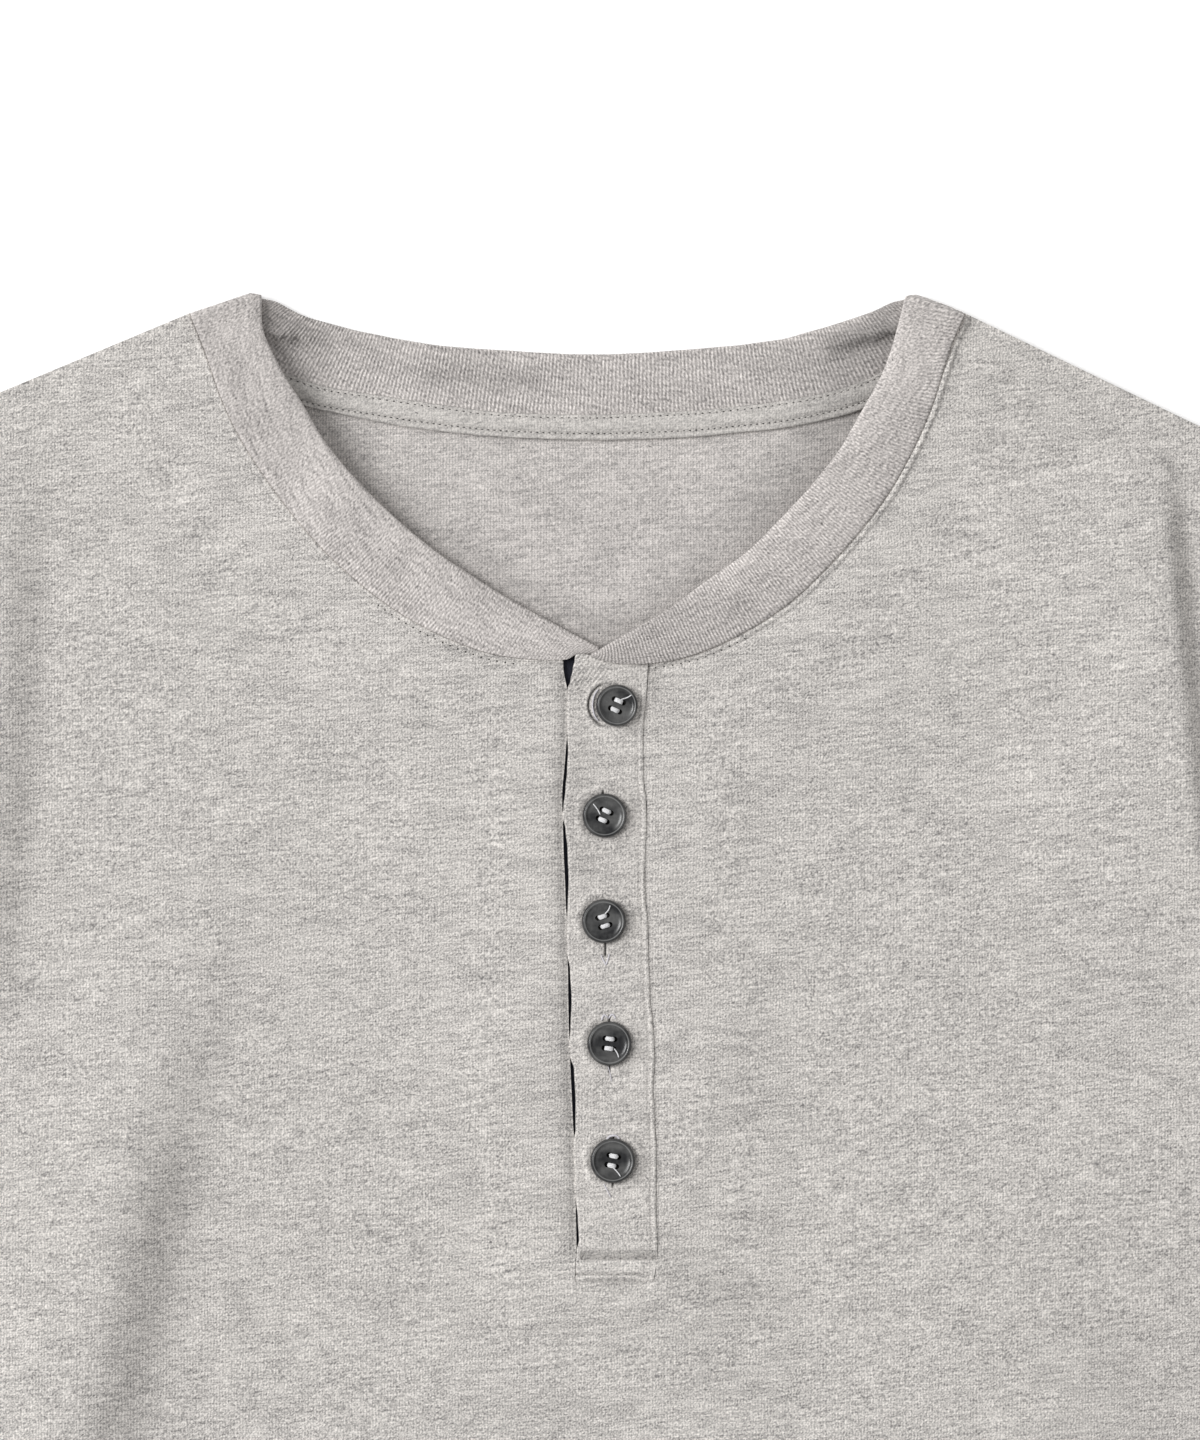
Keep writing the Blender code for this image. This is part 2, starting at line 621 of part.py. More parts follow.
def placket_under():
    """Button strip of dark cloth, under both fronts."""
    rings = []
    for drop in (UNDER_STRIP["top"], UNDER_STRIP["bottom"]):
        left, right = UNDER_STRIP["left"], UNDER_STRIP["right"]
        rings.append([at(left, drop, FRONT_FLOOR), at(left, drop, FRONT_FLOOR + JERSEY),
                      at(right, drop, FRONT_FLOOR + JERSEY), at(right, drop, FRONT_FLOOR)])
    loft("placket_under", rings, "navy_cotton")


def sleeve_lines(side):
    """A function that gives the sleeve's place on the shirt for shares along it and across it."""
    down = Vector((cos(radians(SLEEVE_ANGLE)), sin(radians(SLEEVE_ANGLE))))
    hem_start = Vector((SHOULDER_HALF, SLEEVE_TOP_DROP)) + down * SLEEVE_LENGTH
    hem_end = hem_start + Vector((-down[1], down[0])) * SLEEVE_HEM_WIDTH
    arm = smooth_curve([(abs(x), drop) for x, drop in armhole(side)], 101)
    arm = shift_curve(arm, ARMHOLE_GAP)

    def place(s, t):
        k = round(t * 100)
        ahead = arm[min(k + 1, 100)] - arm[max(k - 1, 0)]
        outward = Vector((ahead[1], -ahead[0])).normalized()
        spread = SLEEVE_SPREAD * ease(t / SLEEVE_TURN) * s * (1 - s) ** 2
        return arm[k].lerp(hem_start.lerp(hem_end, t), s) + outward * spread

    return place, (arm[-1] - arm[0]).length


def sleeve_top(s, t, width):
    """Height of a sleeve's upper side, with its folds, at shares along it and across it."""
    edge = min(t, 1 - t) * width
    height = SLEEVE_HEIGHT * (0.5 + 0.5 * ease(edge / SLEEVE_ROUND))
    for along, aside, reach_along, reach_aside, rise in SLEEVE_FOLDS:
        away = hypot((s - along) / reach_along, (t - aside) / reach_aside)
        if away < 1:
            height += rise * cos(pi / 2 * away) ** 2
    return height


def sleeve(side):
    """A flattened tube from the armhole to the hem, with its wall all round."""
    sign = SIDES[side]["sign"]
    place, armhole_width = sleeve_lines(side)
    outer_rings, inner_rings = [], []
    for i in range(SLEEVE_ROWS + 1):
        s = i / SLEEVE_ROWS
        width = (1 - s) * armhole_width + s * SLEEVE_HEM_WIDTH
        edge = SLEEVE_EDGE / width
        outer = [(place(s, t), sleeve_top(s, t, width)) for t in SLEEVE_ACROSS]
        outer += [(place(s, t), 0.0) for t in SLEEVE_UNDER]
        inner = []
        for t in SLEEVE_ACROSS + SLEEVE_UNDER:
            t_in = edge + (1 - 2 * edge) * t
            ceiling = max(sleeve_top(s, t_in, width) - JERSEY, JERSEY + SLEEVE_SPACE)
            if len(inner) >= len(SLEEVE_ACROSS):
                ceiling = JERSEY
            elif t in (0.0, 1.0):
                ceiling = SLEEVE_HEIGHT / 2
            inner.append((place(s, t_in), ceiling))
        outer_rings.append([at(sign * p[0], p[1], z) for p, z in outer])
        inner_rings.append([at(sign * p[0], p[1], z) for p, z in inner])
    loft("sleeve_" + side, outer_rings + list(reversed(inner_rings)), "grey_jersey", closed=True)


def button(number, x, drop, tilt):
    """A four-hole button: turned, with a raised rim and a dished face."""
    radius = BUTTON["diameter"] / 2
    mesh = bpy.data.meshes.new("button")
    points = [(share * radius * MM, 0, height * BUTTON["height"] * MM) for share, height in BUTTON_SECTION]
    mesh.from_pydata(points, [(i, i + 1) for i in range(len(points) - 1)], [])
    turned = bpy.data.objects.new("button_blank", mesh)
    bpy.data.collections["henley_shirt"].objects.link(turned)
    screw = turned.modifiers.new("turn", "SCREW")
    screw.steps = screw.render_steps = BUTTON["steps"]
    screw.use_merge_vertices = True
    screw.merge_threshold = 0.00001
    bpy.context.view_layer.update()
    solid = bpy.data.meshes.new_from_object(turned.evaluated_get(bpy.context.evaluated_depsgraph_get()))
    bpy.data.objects.remove(turned)
    shape = bmesh.new()
    shape.from_mesh(solid)
    bmesh.ops.recalc_face_normals(shape, faces=shape.faces)
    shape.to_mesh(solid)
    shape.free()
    piece = add_piece("button_%d" % number, solid, "button_grey")
    lean = radius * sin(radians(tilt))
    piece.location = at(x, drop, TRIM_FLOOR + JERSEY + GAP + lean)
    piece.rotation_euler.y = radians(tilt)
    for i, (dx, dy) in enumerate(((-1, -1), (1, -1), (1, 1), (-1, 1))):
        bpy.ops.mesh.primitive_cylinder_add(vertices=BUTTON["hole_sides"], radius=BUTTON["hole_radius"] * MM,
                                            depth=4 * BUTTON["height"] * MM)
        cutter = bpy.context.object
        cutter.name = "hole_%d_%d" % (number, i)
        cutter.data.transform(piece.rotation_euler.to_matrix().to_4x4())
        aside = Vector((dx, dy, 0)) * BUTTON["hole_place"] * MM
        cutter.location = piece.location + piece.rotation_euler.to_matrix() @ aside
        cutter.hide_render = True
        cutter.display_type = "WIRE"
        for collection in list(cutter.users_collection):
            collection.objects.unlink(cutter)
        bpy.data.collections["cutters"].objects.link(cutter)
        cut = piece.modifiers.new("hole", "BOOLEAN")
        cut.operation = "DIFFERENCE"
        cut.object = cutter


def main():
    for old in list(bpy.data.objects):
        bpy.data.objects.remove(old)
    for name in ("henley_shirt", "cutters"):
        collection = bpy.data.collections.new(name)
        bpy.context.scene.collection.children.link(collection)
    back()
    front()
    for side in SIDES:
        sleeve(side)
    neckband()
    neck_tape()
    placket_under()
    placket_top()
    for number, row in enumerate(BUTTONS, 1):
        button(number, *row)


main()
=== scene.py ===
# Long-sleeved henley shirt, laid flat. Sizes are in millimetres, and a drop is measured down the
# shirt from the line that joins the two peaks of its neck.
import math
import random
from functools import partial

import bmesh
import bpy
from mathutils import Matrix, Vector, noise
from mathutils.bvhtree import BVHTree


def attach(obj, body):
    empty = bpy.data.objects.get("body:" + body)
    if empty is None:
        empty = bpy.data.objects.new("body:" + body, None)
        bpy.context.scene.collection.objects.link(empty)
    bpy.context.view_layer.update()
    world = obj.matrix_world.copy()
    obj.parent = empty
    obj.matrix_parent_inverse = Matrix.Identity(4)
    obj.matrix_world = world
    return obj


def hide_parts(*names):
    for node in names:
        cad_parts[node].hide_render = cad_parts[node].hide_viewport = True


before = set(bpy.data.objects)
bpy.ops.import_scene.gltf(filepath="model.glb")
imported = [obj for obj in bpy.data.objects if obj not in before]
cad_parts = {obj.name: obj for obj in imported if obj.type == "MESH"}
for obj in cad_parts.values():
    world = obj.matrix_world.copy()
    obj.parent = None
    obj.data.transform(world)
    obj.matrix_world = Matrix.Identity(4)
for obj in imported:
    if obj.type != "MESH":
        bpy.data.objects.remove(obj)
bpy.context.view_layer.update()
scene = bpy.context.scene
mm = 0.001
weld = 0.000002           # corners closer than this are joined
dice = random.Random(7)
print("frame loaded:", len(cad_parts), "nodes")

shirt = {
    "centreDrop": 360.15,    # drop of the middle of the shirt's length
    "length": 720.0,
    "shoulderHalf": 228.0,
    "chestHalf": 272.0,
    "waistHalf": 264.0,
    "hemHalf": 268.0,
    "acrossHalf": 207.0,
    "underarmDrop": 298.0,
    "waistDrop": 480.0,
    "frontFloor": 1.5,       # underside of the front where it lies on the back
    "trimLift": 1.5,         # how much the neckband and placket raise the front
    "trimReach": 48.0,
    "cloth": 1.2,
    "placketDrop": 100.5,    # where the neckline ends and the placket starts
    "placketEnd": 257.0,     # where the front's edge and the placket's part, above the line across its end
    "hemRows": (17.0, 21.5),    # stitches, from the hem
}
sides = {
    "left": {"sign": 1, "shoulderDrop": 66.0, "foldX": 161.0,
             "neckSeam": (103.4, 5.9), "neckFree": (87.9, -0.05)},
    "right": {"sign": -1, "shoulderDrop": 57.0, "foldX": 152.0,
              "neckSeam": (-105.8, 5.9), "neckFree": (-87.2, -0.37)},
}


# places, curves and heights
def onShirt(x, drop, z):
    return Vector((x, shirt["centreDrop"] - drop, z)) * mm


def ease(share):
    share = min(max(share, 0.0), 1.0)
    return share * share * (3 - 2 * share)


def fade(distance, reach):
    return 1 - ease(distance / reach)


def bell(distance, reach):
    return math.exp(-(distance / reach) ** 2)


def spread(start, end, count):
    # evenly spaced values between two, without them
    return [start + (end - start) * k / count for k in range(1, count)]


def smoothCurve(rows, count, measured=2):
    # evenly spaced rows on a smooth curve through the given ones; the first columns are measured
    rows = [Vector(row) for row in rows]
    fine, steps = [], 12
    for i in range(len(rows) - 1):
        before, start, end = rows[max(i - 1, 0)], rows[i], rows[i + 1]
        after = rows[min(i + 2, len(rows) - 1)]
        for k in range(steps):
            t = k / steps
            fine.append(0.5 * (2 * start + (end - before) * t
                               + (2 * before - 5 * start + 4 * end - after) * t ** 2
                               + (3 * start - before - 3 * end + after) * t ** 3))
    fine.append(rows[-1])
    lengths = [0.0]
    for a, b in zip(fine, fine[1:]):
        lengths.append(lengths[-1] + math.dist(a[:measured], b[:measured]))
    result, k = [], 0
    for i in range(count):
        target = lengths[-1] * i / (count - 1)
        while k < len(lengths) - 2 and lengths[k + 1] < target:
            k += 1
        share = min((target - lengths[k]) / (lengths[k + 1] - lengths[k]), 1.0)
        result.append(fine[k].lerp(fine[k + 1], share))
    return result


def curveLength(points):
    return sum(math.dist(a, b) for a, b in zip(points, points[1:]))


def pointAlong(points, share):
    # the point at a share of a polyline's length
    target = curveLength(points) * min(max(share, 0.0), 1.0)
    for a, b in zip(points, points[1:]):
        step = math.dist(a, b)
        if target <= step:
            return Vector(a).lerp(Vector(b), target / step if step else 0.0)
        target -= step
    return Vector(points[-1])


def shiftCurve(points, distance):
    # a flat curve moved sideways, to the left of its own direction seen with drops pointing down
    result = []
    for i, point in enumerate(points):
        ahead = points[min(i + 1, len(points) - 1)] - points[max(i - 1, 0)]
        side = Vector((ahead[1], -ahead[0])).normalized()
        result.append(Vector((point[0], point[1])) + side * distance)
    return result


def ripple(x, drop, size, seed=0.0):
    # soft noise of about -1 to 1 whose waves are about that many millimetres long
    return noise.noise(Vector((x / size, drop / size, seed)))


def foldHeight(x, drop, folds):
    total = 0.0
    for crest, height, reachMinus, reachPlus in folds:
        away, t, side = 1e9, 0.0, 0.0
        for k, (crestX, crestDrop) in enumerate(crest):
            distance = math.hypot(x - crestX, drop - crestDrop)
            if distance < away:
                away, t, side = distance, k / (len(crest) - 1), x - crestX
        reach = reachPlus if side > 0 else reachMinus
        if away < reach:
            total += height * ease(t / 0.3) * ease((1 - t) / 0.3) * math.cos(math.pi / 2 * away / reach) ** 2
    return total


def foldCrests(rows):
    # each fold's crest is a curve from its start, past its bend, to its end
    crests = []
    for x0, d0, x1, d1, x2, d2, height, reachMinus, reachPlus in rows:
        crest = []
        for k in range(41):
            t = k / 40
            crest.append(((1 - t) ** 2 * x0 + 2 * t * (1 - t) * x1 + t * t * x2,
                          (1 - t) ** 2 * d0 + 2 * t * (1 - t) * d1 + t * t * d2))
        crests.append((crest, height, reachMinus, reachPlus))
    return crests


def between(rows, place, column):
    # a table's value at a place of its first column
    for a, b in zip(rows, rows[1:]):
        if place <= b[0]:
            t = ease((place - a[0]) / (b[0] - a[0]))
            return a[column] + (b[column] - a[column]) * t
    return rows[-1][column]


def gridShape(columns, rows, place):
    # a flat grid whose corners are laid where place(column, row) says
    shape = bmesh.new()
    bmesh.ops.create_grid(shape, x_segments=columns, y_segments=rows, size=0.5)
    for corner in shape.verts:
        corner.co = place(round((corner.co.x + 0.5) * columns), round((0.5 - corner.co.y) * rows))
    return shape


def addGrid(shape, columns, rows, place, shadeAt):
    layer = shape.verts.layers.float.get("shade") or shape.verts.layers.float.new("shade")
    made = bmesh.ops.create_grid(shape, x_segments=columns, y_segments=rows, size=0.5)["verts"]
    for corner in made:
        column, row = round((corner.co.x + 0.5) * columns), round((0.5 - corner.co.y) * rows)
        corner.co, corner[layer] = place(column, row), shadeAt(column, row)


def setShade(shape, shadeAt):
    # the shade attribute is painted shade that the materials multiply into the colour; negative values paint
    # light
    layer = shape.verts.layers.float.new("shade")
    for corner in shape.verts:
        corner[layer] = shadeAt(corner.co.x / mm, shirt["centreDrop"] - corner.co.y / mm)


def addObject(name, shape):
    mesh = bpy.data.meshes.new(name)
    shape.to_mesh(mesh)
    shape.free()
    made = bpy.data.objects.new(name, mesh)
    scene.collection.objects.link(made)
    return made


def addPiece(name, shape, finish, nodes=()):
    piece = addObject(name, shape)
    piece.data.shade_smooth()
    piece.data.materials.append(finish)
    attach(piece, "root")
    if nodes:
        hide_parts(*nodes)
    return piece


def seal(shape):
    # joins a wrapped grid's long edges, closes its ends and turns its faces outwards
    bmesh.ops.remove_doubles(shape, verts=shape.verts, dist=weld)
    bmesh.ops.holes_fill(shape, edges=[edge for edge in shape.edges if edge.is_boundary])
    bmesh.ops.recalc_face_normals(shape, faces=shape.faces)


def addWall(piece, thickness):
    wall = piece.modifiers.new("wall", "SOLIDIFY")
    wall.thickness = thickness * mm
    wall.offset = -1
    wall.use_even_offset = False


def surfaceOf(shape):
    # finds heights on a shape that is seen from above
    shape.normal_update()
    return BVHTree.FromBMesh(shape)


def heightOn(surface, x, drop, otherwise=3.0):
    hit = surface.ray_cast(onShirt(x, drop, 60.0), Vector((0, 0, -1)))[0]
    return hit.z / mm if hit else otherwise


# colours, as linear light
yarns = {
    "jerseyLight": (0.912, 0.869, 0.822),
    "jerseyDark": (0.205, 0.196, 0.192),
    "insideLight": (0.893, 0.840, 0.803),
    "ribLight": (0.903, 0.847, 0.812),
    "ribDark": (0.191, 0.178, 0.174),
    "threadLight": (0.640, 0.615, 0.585),
    "navy": (0.016, 0.017, 0.026),
    "buttonDark": (0.010, 0.0105, 0.0125),
    "buttonPale": (0.118, 0.118, 0.116),
    "buttonRimHighlight": (0.250, 0.250, 0.246),
    "sewingWhite": (0.78, 0.78, 0.79),
    "sewingPale": (0.66, 0.64, 0.68),
    "needleHoleShadow": (0.055, 0.052, 0.05),
}


def setValue(tree, socket, value):
    if isinstance(value, bpy.types.NodeSocket):
        tree.links.new(value, socket)
    else:
        socket.default_value = (*value, 1.0) if socket.type == "RGBA" else value


def addNode(tree, kind, values, **settings):
    node = tree.nodes.new("ShaderNode" + kind)
    for name, setting in settings.items():
        setattr(node, name, setting)
    for name, value in values.items():
        setValue(tree, node.inputs[name], value)
    return node


def maths(tree, operation, *values, clamp=False):
    return addNode(tree, "Math", dict(enumerate(values)), operation=operation, use_clamp=clamp).outputs[0]


def mixColour(tree, share, first, second, blend="MIX"):
    # this node's colours are its inputs 6 and 7 and its output 2
    values = {"Factor": share, 6: first, 7: second}
    return addNode(tree, "Mix", values, data_type="RGBA", blend_type=blend).outputs[2]


def stretched(tree, place, scale, turn=0.0, shift=(0, 0, 0)):
    values = {"Vector": place, "Scale": scale, "Rotation": (0, 0, turn), "Location": shift}
    return addNode(tree, "Mapping", values).outputs[0]


def cloudy(tree, place, detail=2.0, roughness=0.5, low=0.35, high=0.65):
    # soft noise spread from 0 to 1
    values = {"Vector": place, "Scale": 1.0, "Detail": detail, "Roughness": roughness}
    soft = addNode(tree, "TexNoise", values).outputs[0]
    return addNode(tree, "MapRange", {"From Min": low, "From Max": high, "Value": soft}).outputs[0]


def attribute(tree, name):
    return addNode(tree, "Attribute", {}, attribute_name=name).outputs["Fac"]


def addGroup(tree, group, **values):
    return addNode(tree, "Group", values, node_tree=group)


def newGroup(name, inputs, outputs):
    group = bpy.data.node_groups.new(name, "ShaderNodeTree")
    for way, sockets in (("INPUT", inputs), ("OUTPUT", outputs)):
        for label, kind in sockets.items():
            group.interface.new_socket(name=label, in_out=way, socket_type="NodeSocket" + kind)
    return group, group.nodes.new("NodeGroupInput").outputs, group.nodes.new("NodeGroupOutput").inputs


def makeHeather():
    # melange yarn: faint streaks along the rows of stitches, slanted flecks, grain, clouds, a few dark fibres
    group, given, result = newGroup("heatherYarn", {
        "Place": "Vector", "Light": "Color", "Dark": "Color", "Streaks": "Float", "Flecks": "Float",
        "Grain": "Float", "Clouds": "Float"}, {"Color": "Color", "Mix": "Float"})
    # each layer's strength, lean in degrees, scale, turn, shift, detail and roughness
    layers = (
        ("Streaks", -6, (0.14, 1.35, 0.4), 0.0, (0, 0, 0), 2.0, 0.55),
        ("Flecks", -33, (1.3, 2.7, 1.0), 0.0, (13, 9, 0), 1.0, 0.5),
        ("Grain", 0, (2.45, 1.85, 1.0), 0.2, (7, 3, 0), 1.5, 0.6),
        ("Clouds", 0, (0.055, 0.13, 0.1), 0.05, (31, 5, 0), 2.0, 0.55),
    )
    total = 0.5
    for label, lean, scale, turn, shift, detail, roughness in layers:
        place = stretched(group, given["Place"], (1, 1, 1), math.radians(lean))
        layer = cloudy(group, stretched(group, place, scale, turn, shift), detail, roughness)
        total = maths(group, "MULTIPLY_ADD", maths(group, "SUBTRACT", layer, 0.5), given[label], total)
    speck = stretched(group, given["Place"], (0.75, 1.1, 0.5), 0.4, (3, 71, 0))
    speck = cloudy(group, speck, 1.0, 0.5, 0.76, 0.80)
    total = maths(group, "MULTIPLY_ADD", speck, -0.75, total, clamp=True)
    setValue(group, result["Color"], mixColour(group, total, given["Dark"], given["Light"]))
    setValue(group, result["Mix"], total)
    return group


def makeLoops():
    # the fine face of a knit: upright wales, each a chain of small V stitches
    group, given, result = newGroup("knitLoops", {
        "Place": "Vector", "Wale": "Float", "Course": "Float", "Wander": "Float"}, {"Height": "Float"})
    calc = partial(maths, group)
    split = addNode(group, "SeparateXYZ", {0: given["Place"]}).outputs
    wander = cloudy(group, stretched(group, given["Place"], (0.09, 0.16, 0.1)), 2.0, 0.5, 0.3, 0.7)
    wander = calc("MULTIPLY", calc("SUBTRACT", wander, 0.5), given["Wander"])
    slant = calc("PINGPONG", calc("ADD", calc("DIVIDE", split[0], given["Wale"]), wander), 0.5)
    rows = calc("MULTIPLY_ADD", slant, 0.8, calc("DIVIDE", split[1], given["Course"]))
    wale = calc("SINE", calc("MULTIPLY", slant, math.pi))
    course = calc("SINE", calc("MULTIPLY", rows, math.tau))
    height = calc("MULTIPLY_ADD", calc("ABSOLUTE", wale), 0.6, calc("MULTIPLY", course, 0.2))
    setValue(group, result["Height"], calc("ADD", height, 0.2, clamp=True))
    return group


heatherYarn = makeHeather()
knitLoops = makeLoops()


def newMaterial(name, roughness=0.92, sheen=0.12, specular=0.25):
    finish = bpy.data.materials.new(name)
    finish.use_nodes = True
    shader = finish.node_tree.nodes["Principled BSDF"].inputs
    for label, value in (("Roughness", roughness), ("Specular IOR Level", specular), ("Sheen Weight", sheen),
                         ("Sheen Roughness", 0.6)):
        shader[label].default_value = value
    return finish, finish.node_tree, shader


def placeInMm(tree, turn=0.0, uvMap=None):
    if uvMap:
        source = addNode(tree, "UVMap", {}, uv_map=uvMap).outputs[0]
    else:
        source = addNode(tree, "TexCoord", {}).outputs["Object"]
    return stretched(tree, source, (1000, 1000, 1000), turn)


def addBump(tree, shader, height, strength=0.55, distance=0.12):
    bump = addNode(tree, "Bump", {"Strength": strength, "Distance": distance * mm, "Height": height})
    setValue(tree, shader["Normal"], bump.outputs[0])


def paint(tree, shader, colour, shade):
    # a yarn's colour with painted shade from the cloth's relief and from the piece's own shade attribute, which
    # paints light where it is negative
    light = maths(tree, "MULTIPLY", shade, maths(tree, "SUBTRACT", 1.0, attribute(tree, "shade")))
    grey = addNode(tree, "CombineColor", {k: light for k in range(3)}).outputs[0]
    setValue(tree, shader["Base Color"], mixColour(tree, 1.0, colour, grey, "MULTIPLY"))


jerseyYarn = {"Light": yarns["jerseyLight"], "Dark": yarns["jerseyDark"], "Streaks": 0.275, "Flecks": 0.41,
              "Grain": 0.485, "Clouds": 0.09}


def jerseyMaterial(name, contrast=0.31, wander=0.30, turn=0.0, **changes):
    # changes replace values of the yarn
    finish, tree, shader = newMaterial(name)
    place = placeInMm(tree, turn)
    yarn = addGroup(tree, heatherYarn, Place=place, **dict(jerseyYarn, **changes)).outputs
    loops = addGroup(tree, knitLoops, Place=place, Wale=0.795, Course=0.62, Wander=wander).outputs[0]
    # the knit's loops paint shade between the wales
    paint(tree, shader, yarn[0], maths(tree, "MULTIPLY_ADD", loops, contrast, 1 - contrast * 0.6))
    addBump(tree, shader, maths(tree, "MULTIPLY_ADD", yarn["Mix"], 0.5, loops))
    return finish


frontJersey = jerseyMaterial("heather_jersey")
insideJersey = jerseyMaterial("heather_jersey_inside", 0.43, 0.15, Light=yarns["insideLight"], Streaks=0.21,
                              Flecks=0.24, Grain=0.42)
tapeJersey = jerseyMaterial("heather_jersey_tape", 0.18, Streaks=0.17, Flecks=0.24, Grain=0.34, Clouds=0.05)
sleeveJersey = {side: jerseyMaterial("heather_jersey_sleeve_" + side, turn=math.radians(42.0 * row["sign"]))
                for side, row in sides.items()}

ribKnit = {"pitch": 1.08, "course": 0.80, "groove": 0.56, "wander": 0.34}


def ribMaterial():
    # the pattern follows the band: its UV map runs along the band in metres, and across it
    finish, tree, shader = newMaterial("heather_rib")
    calc = partial(maths, tree)
    place = placeInMm(tree, 0.0, "cloth")
    # the yarn's marks are longer along the ribs
    yarn = addGroup(tree, heatherYarn, Place=stretched(tree, place, (0.9, 0.6, 1)), Light=yarns["ribLight"],
                    Dark=yarns["ribDark"], Streaks=0.21, Flecks=0.38, Grain=0.37, Clouds=0.12).outputs
    wander = cloudy(tree, stretched(tree, place, (0.24, 0.42, 1)), 1.0, 0.5, 0.3, 0.7)
    wander = calc("MULTIPLY", calc("SUBTRACT", wander, 0.5), ribKnit["wander"])
    rib = calc("PINGPONG", calc("ADD", attribute(tree, "ribPlace"), wander), 0.5)
    crown = calc("MULTIPLY", rib, 2.0)            # 0 in a groove, 1 on a rib
    across = addNode(tree, "SeparateXYZ", {0: place}).outputs[1]
    course = calc("SINE", calc("MULTIPLY", across, math.tau / ribKnit["course"]))
    unevenReliefAndShade = cloudy(tree, stretched(tree, place, (0.05, 0.12, 1)), 2.0, 0.5, 0.3, 0.7)
    # the grooves between the ribs get painted shade, as deep as the ribShow attribute and an uneven noise say
    shown = attribute(tree, "ribShow")
    depth = calc("MULTIPLY", calc("MULTIPLY_ADD", unevenReliefAndShade, 0.25, ribKnit["groove"] - 0.16), shown)
    shade = calc("SUBTRACT", 1.0, calc("MULTIPLY", calc("SUBTRACT", 0.64, crown), depth))
    paint(tree, shader, yarn[0], calc("MULTIPLY_ADD", course, 0.012, shade))
    relief = calc("MULTIPLY_ADD", yarn["Mix"], 0.6, calc("MULTIPLY", crown, shown))
    addBump(tree, shader, calc("MULTIPLY_ADD", course, 0.1, relief), 0.5)
    return finish


def plainMaterial(name, colour, roughness, patch=0.25, scale=3.0):
    # one colour of yarn, with the unevenness of its twist
    finish, tree, shader = newMaterial(name, roughness, 0.1)
    twist = cloudy(tree, stretched(tree, placeInMm(tree), (scale, scale, scale), 0.6), 2.0, 0.6)
    dark = tuple(part * (1 - patch) for part in colour)
    light = tuple(min(part * (1 + patch), 1.0) for part in colour)
    setValue(tree, shader["Base Color"], mixColour(tree, twist, dark, light))
    addBump(tree, shader, twist, 0.4, 0.1)
    return finish


def buttonMaterial():
    # cloudy dark resin, polished
    finish, tree, shader = newMaterial("smoky_resin", 0.24, 0.0, 0.5)
    calc = partial(maths, tree)
    place = placeInMm(tree)
    swirl = cloudy(tree, stretched(tree, place, (0.11, 0.20, 0.2), 0.7, (9, 4, 0)), 3.0, 0.55, 0.38, 0.62)
    fine = cloudy(tree, stretched(tree, place, (0.9, 0.35, 0.5), 0.3))
    share = calc("MULTIPLY_ADD", fine, 0.15, calc("MULTIPLY", swirl, 0.85), clamp=True)
    marbled = mixColour(tree, share, yarns["buttonDark"], yarns["buttonPale"])
    # a painted highlight in a ring along the rim, and a darker edge outside it
    face = addNode(tree, "UVMap", {}, uv_map="face").outputs[0]
    reach = addNode(tree, "VectorMath", {0: face}, operation="LENGTH").outputs["Value"]
    fromRing = calc("ABSOLUTE", calc("SUBTRACT", reach, 0.865))
    ring = calc("MULTIPLY", calc("SUBTRACT", 1.0, calc("DIVIDE", fromRing, 0.035), clamp=True), 0.8)
    edge = calc("MULTIPLY", calc("SUBTRACT", reach, 0.91), 11.0, clamp=True)
    marbled = mixColour(tree, edge, marbled, yarns["buttonDark"])
    setValue(tree, shader["Base Color"], mixColour(tree, ring, marbled, yarns["buttonRimHighlight"]))
    setValue(tree, shader["Roughness"], calc("MULTIPLY_ADD", fine, 0.12, 0.20))
    return finish


ribFinish = ribMaterial()
navyFinish = plainMaterial("navy_cotton_cloth", yarns["navy"], 0.95, 0.3, 1.6)
threadFinish = plainMaterial("grey_sewing_thread", yarns["threadLight"], 0.8)
whiteThread = plainMaterial("pale_button_thread", yarns["sewingWhite"], 0.7, 0.2)
paleThread = plainMaterial("pale_grey_thread", yarns["sewingPale"], 0.8, 0.2)
holeShadowFinish = plainMaterial("needle_hole_shadow", yarns["needleHoleShadow"], 1.0)
buttonFinish = buttonMaterial()
print("materials made")


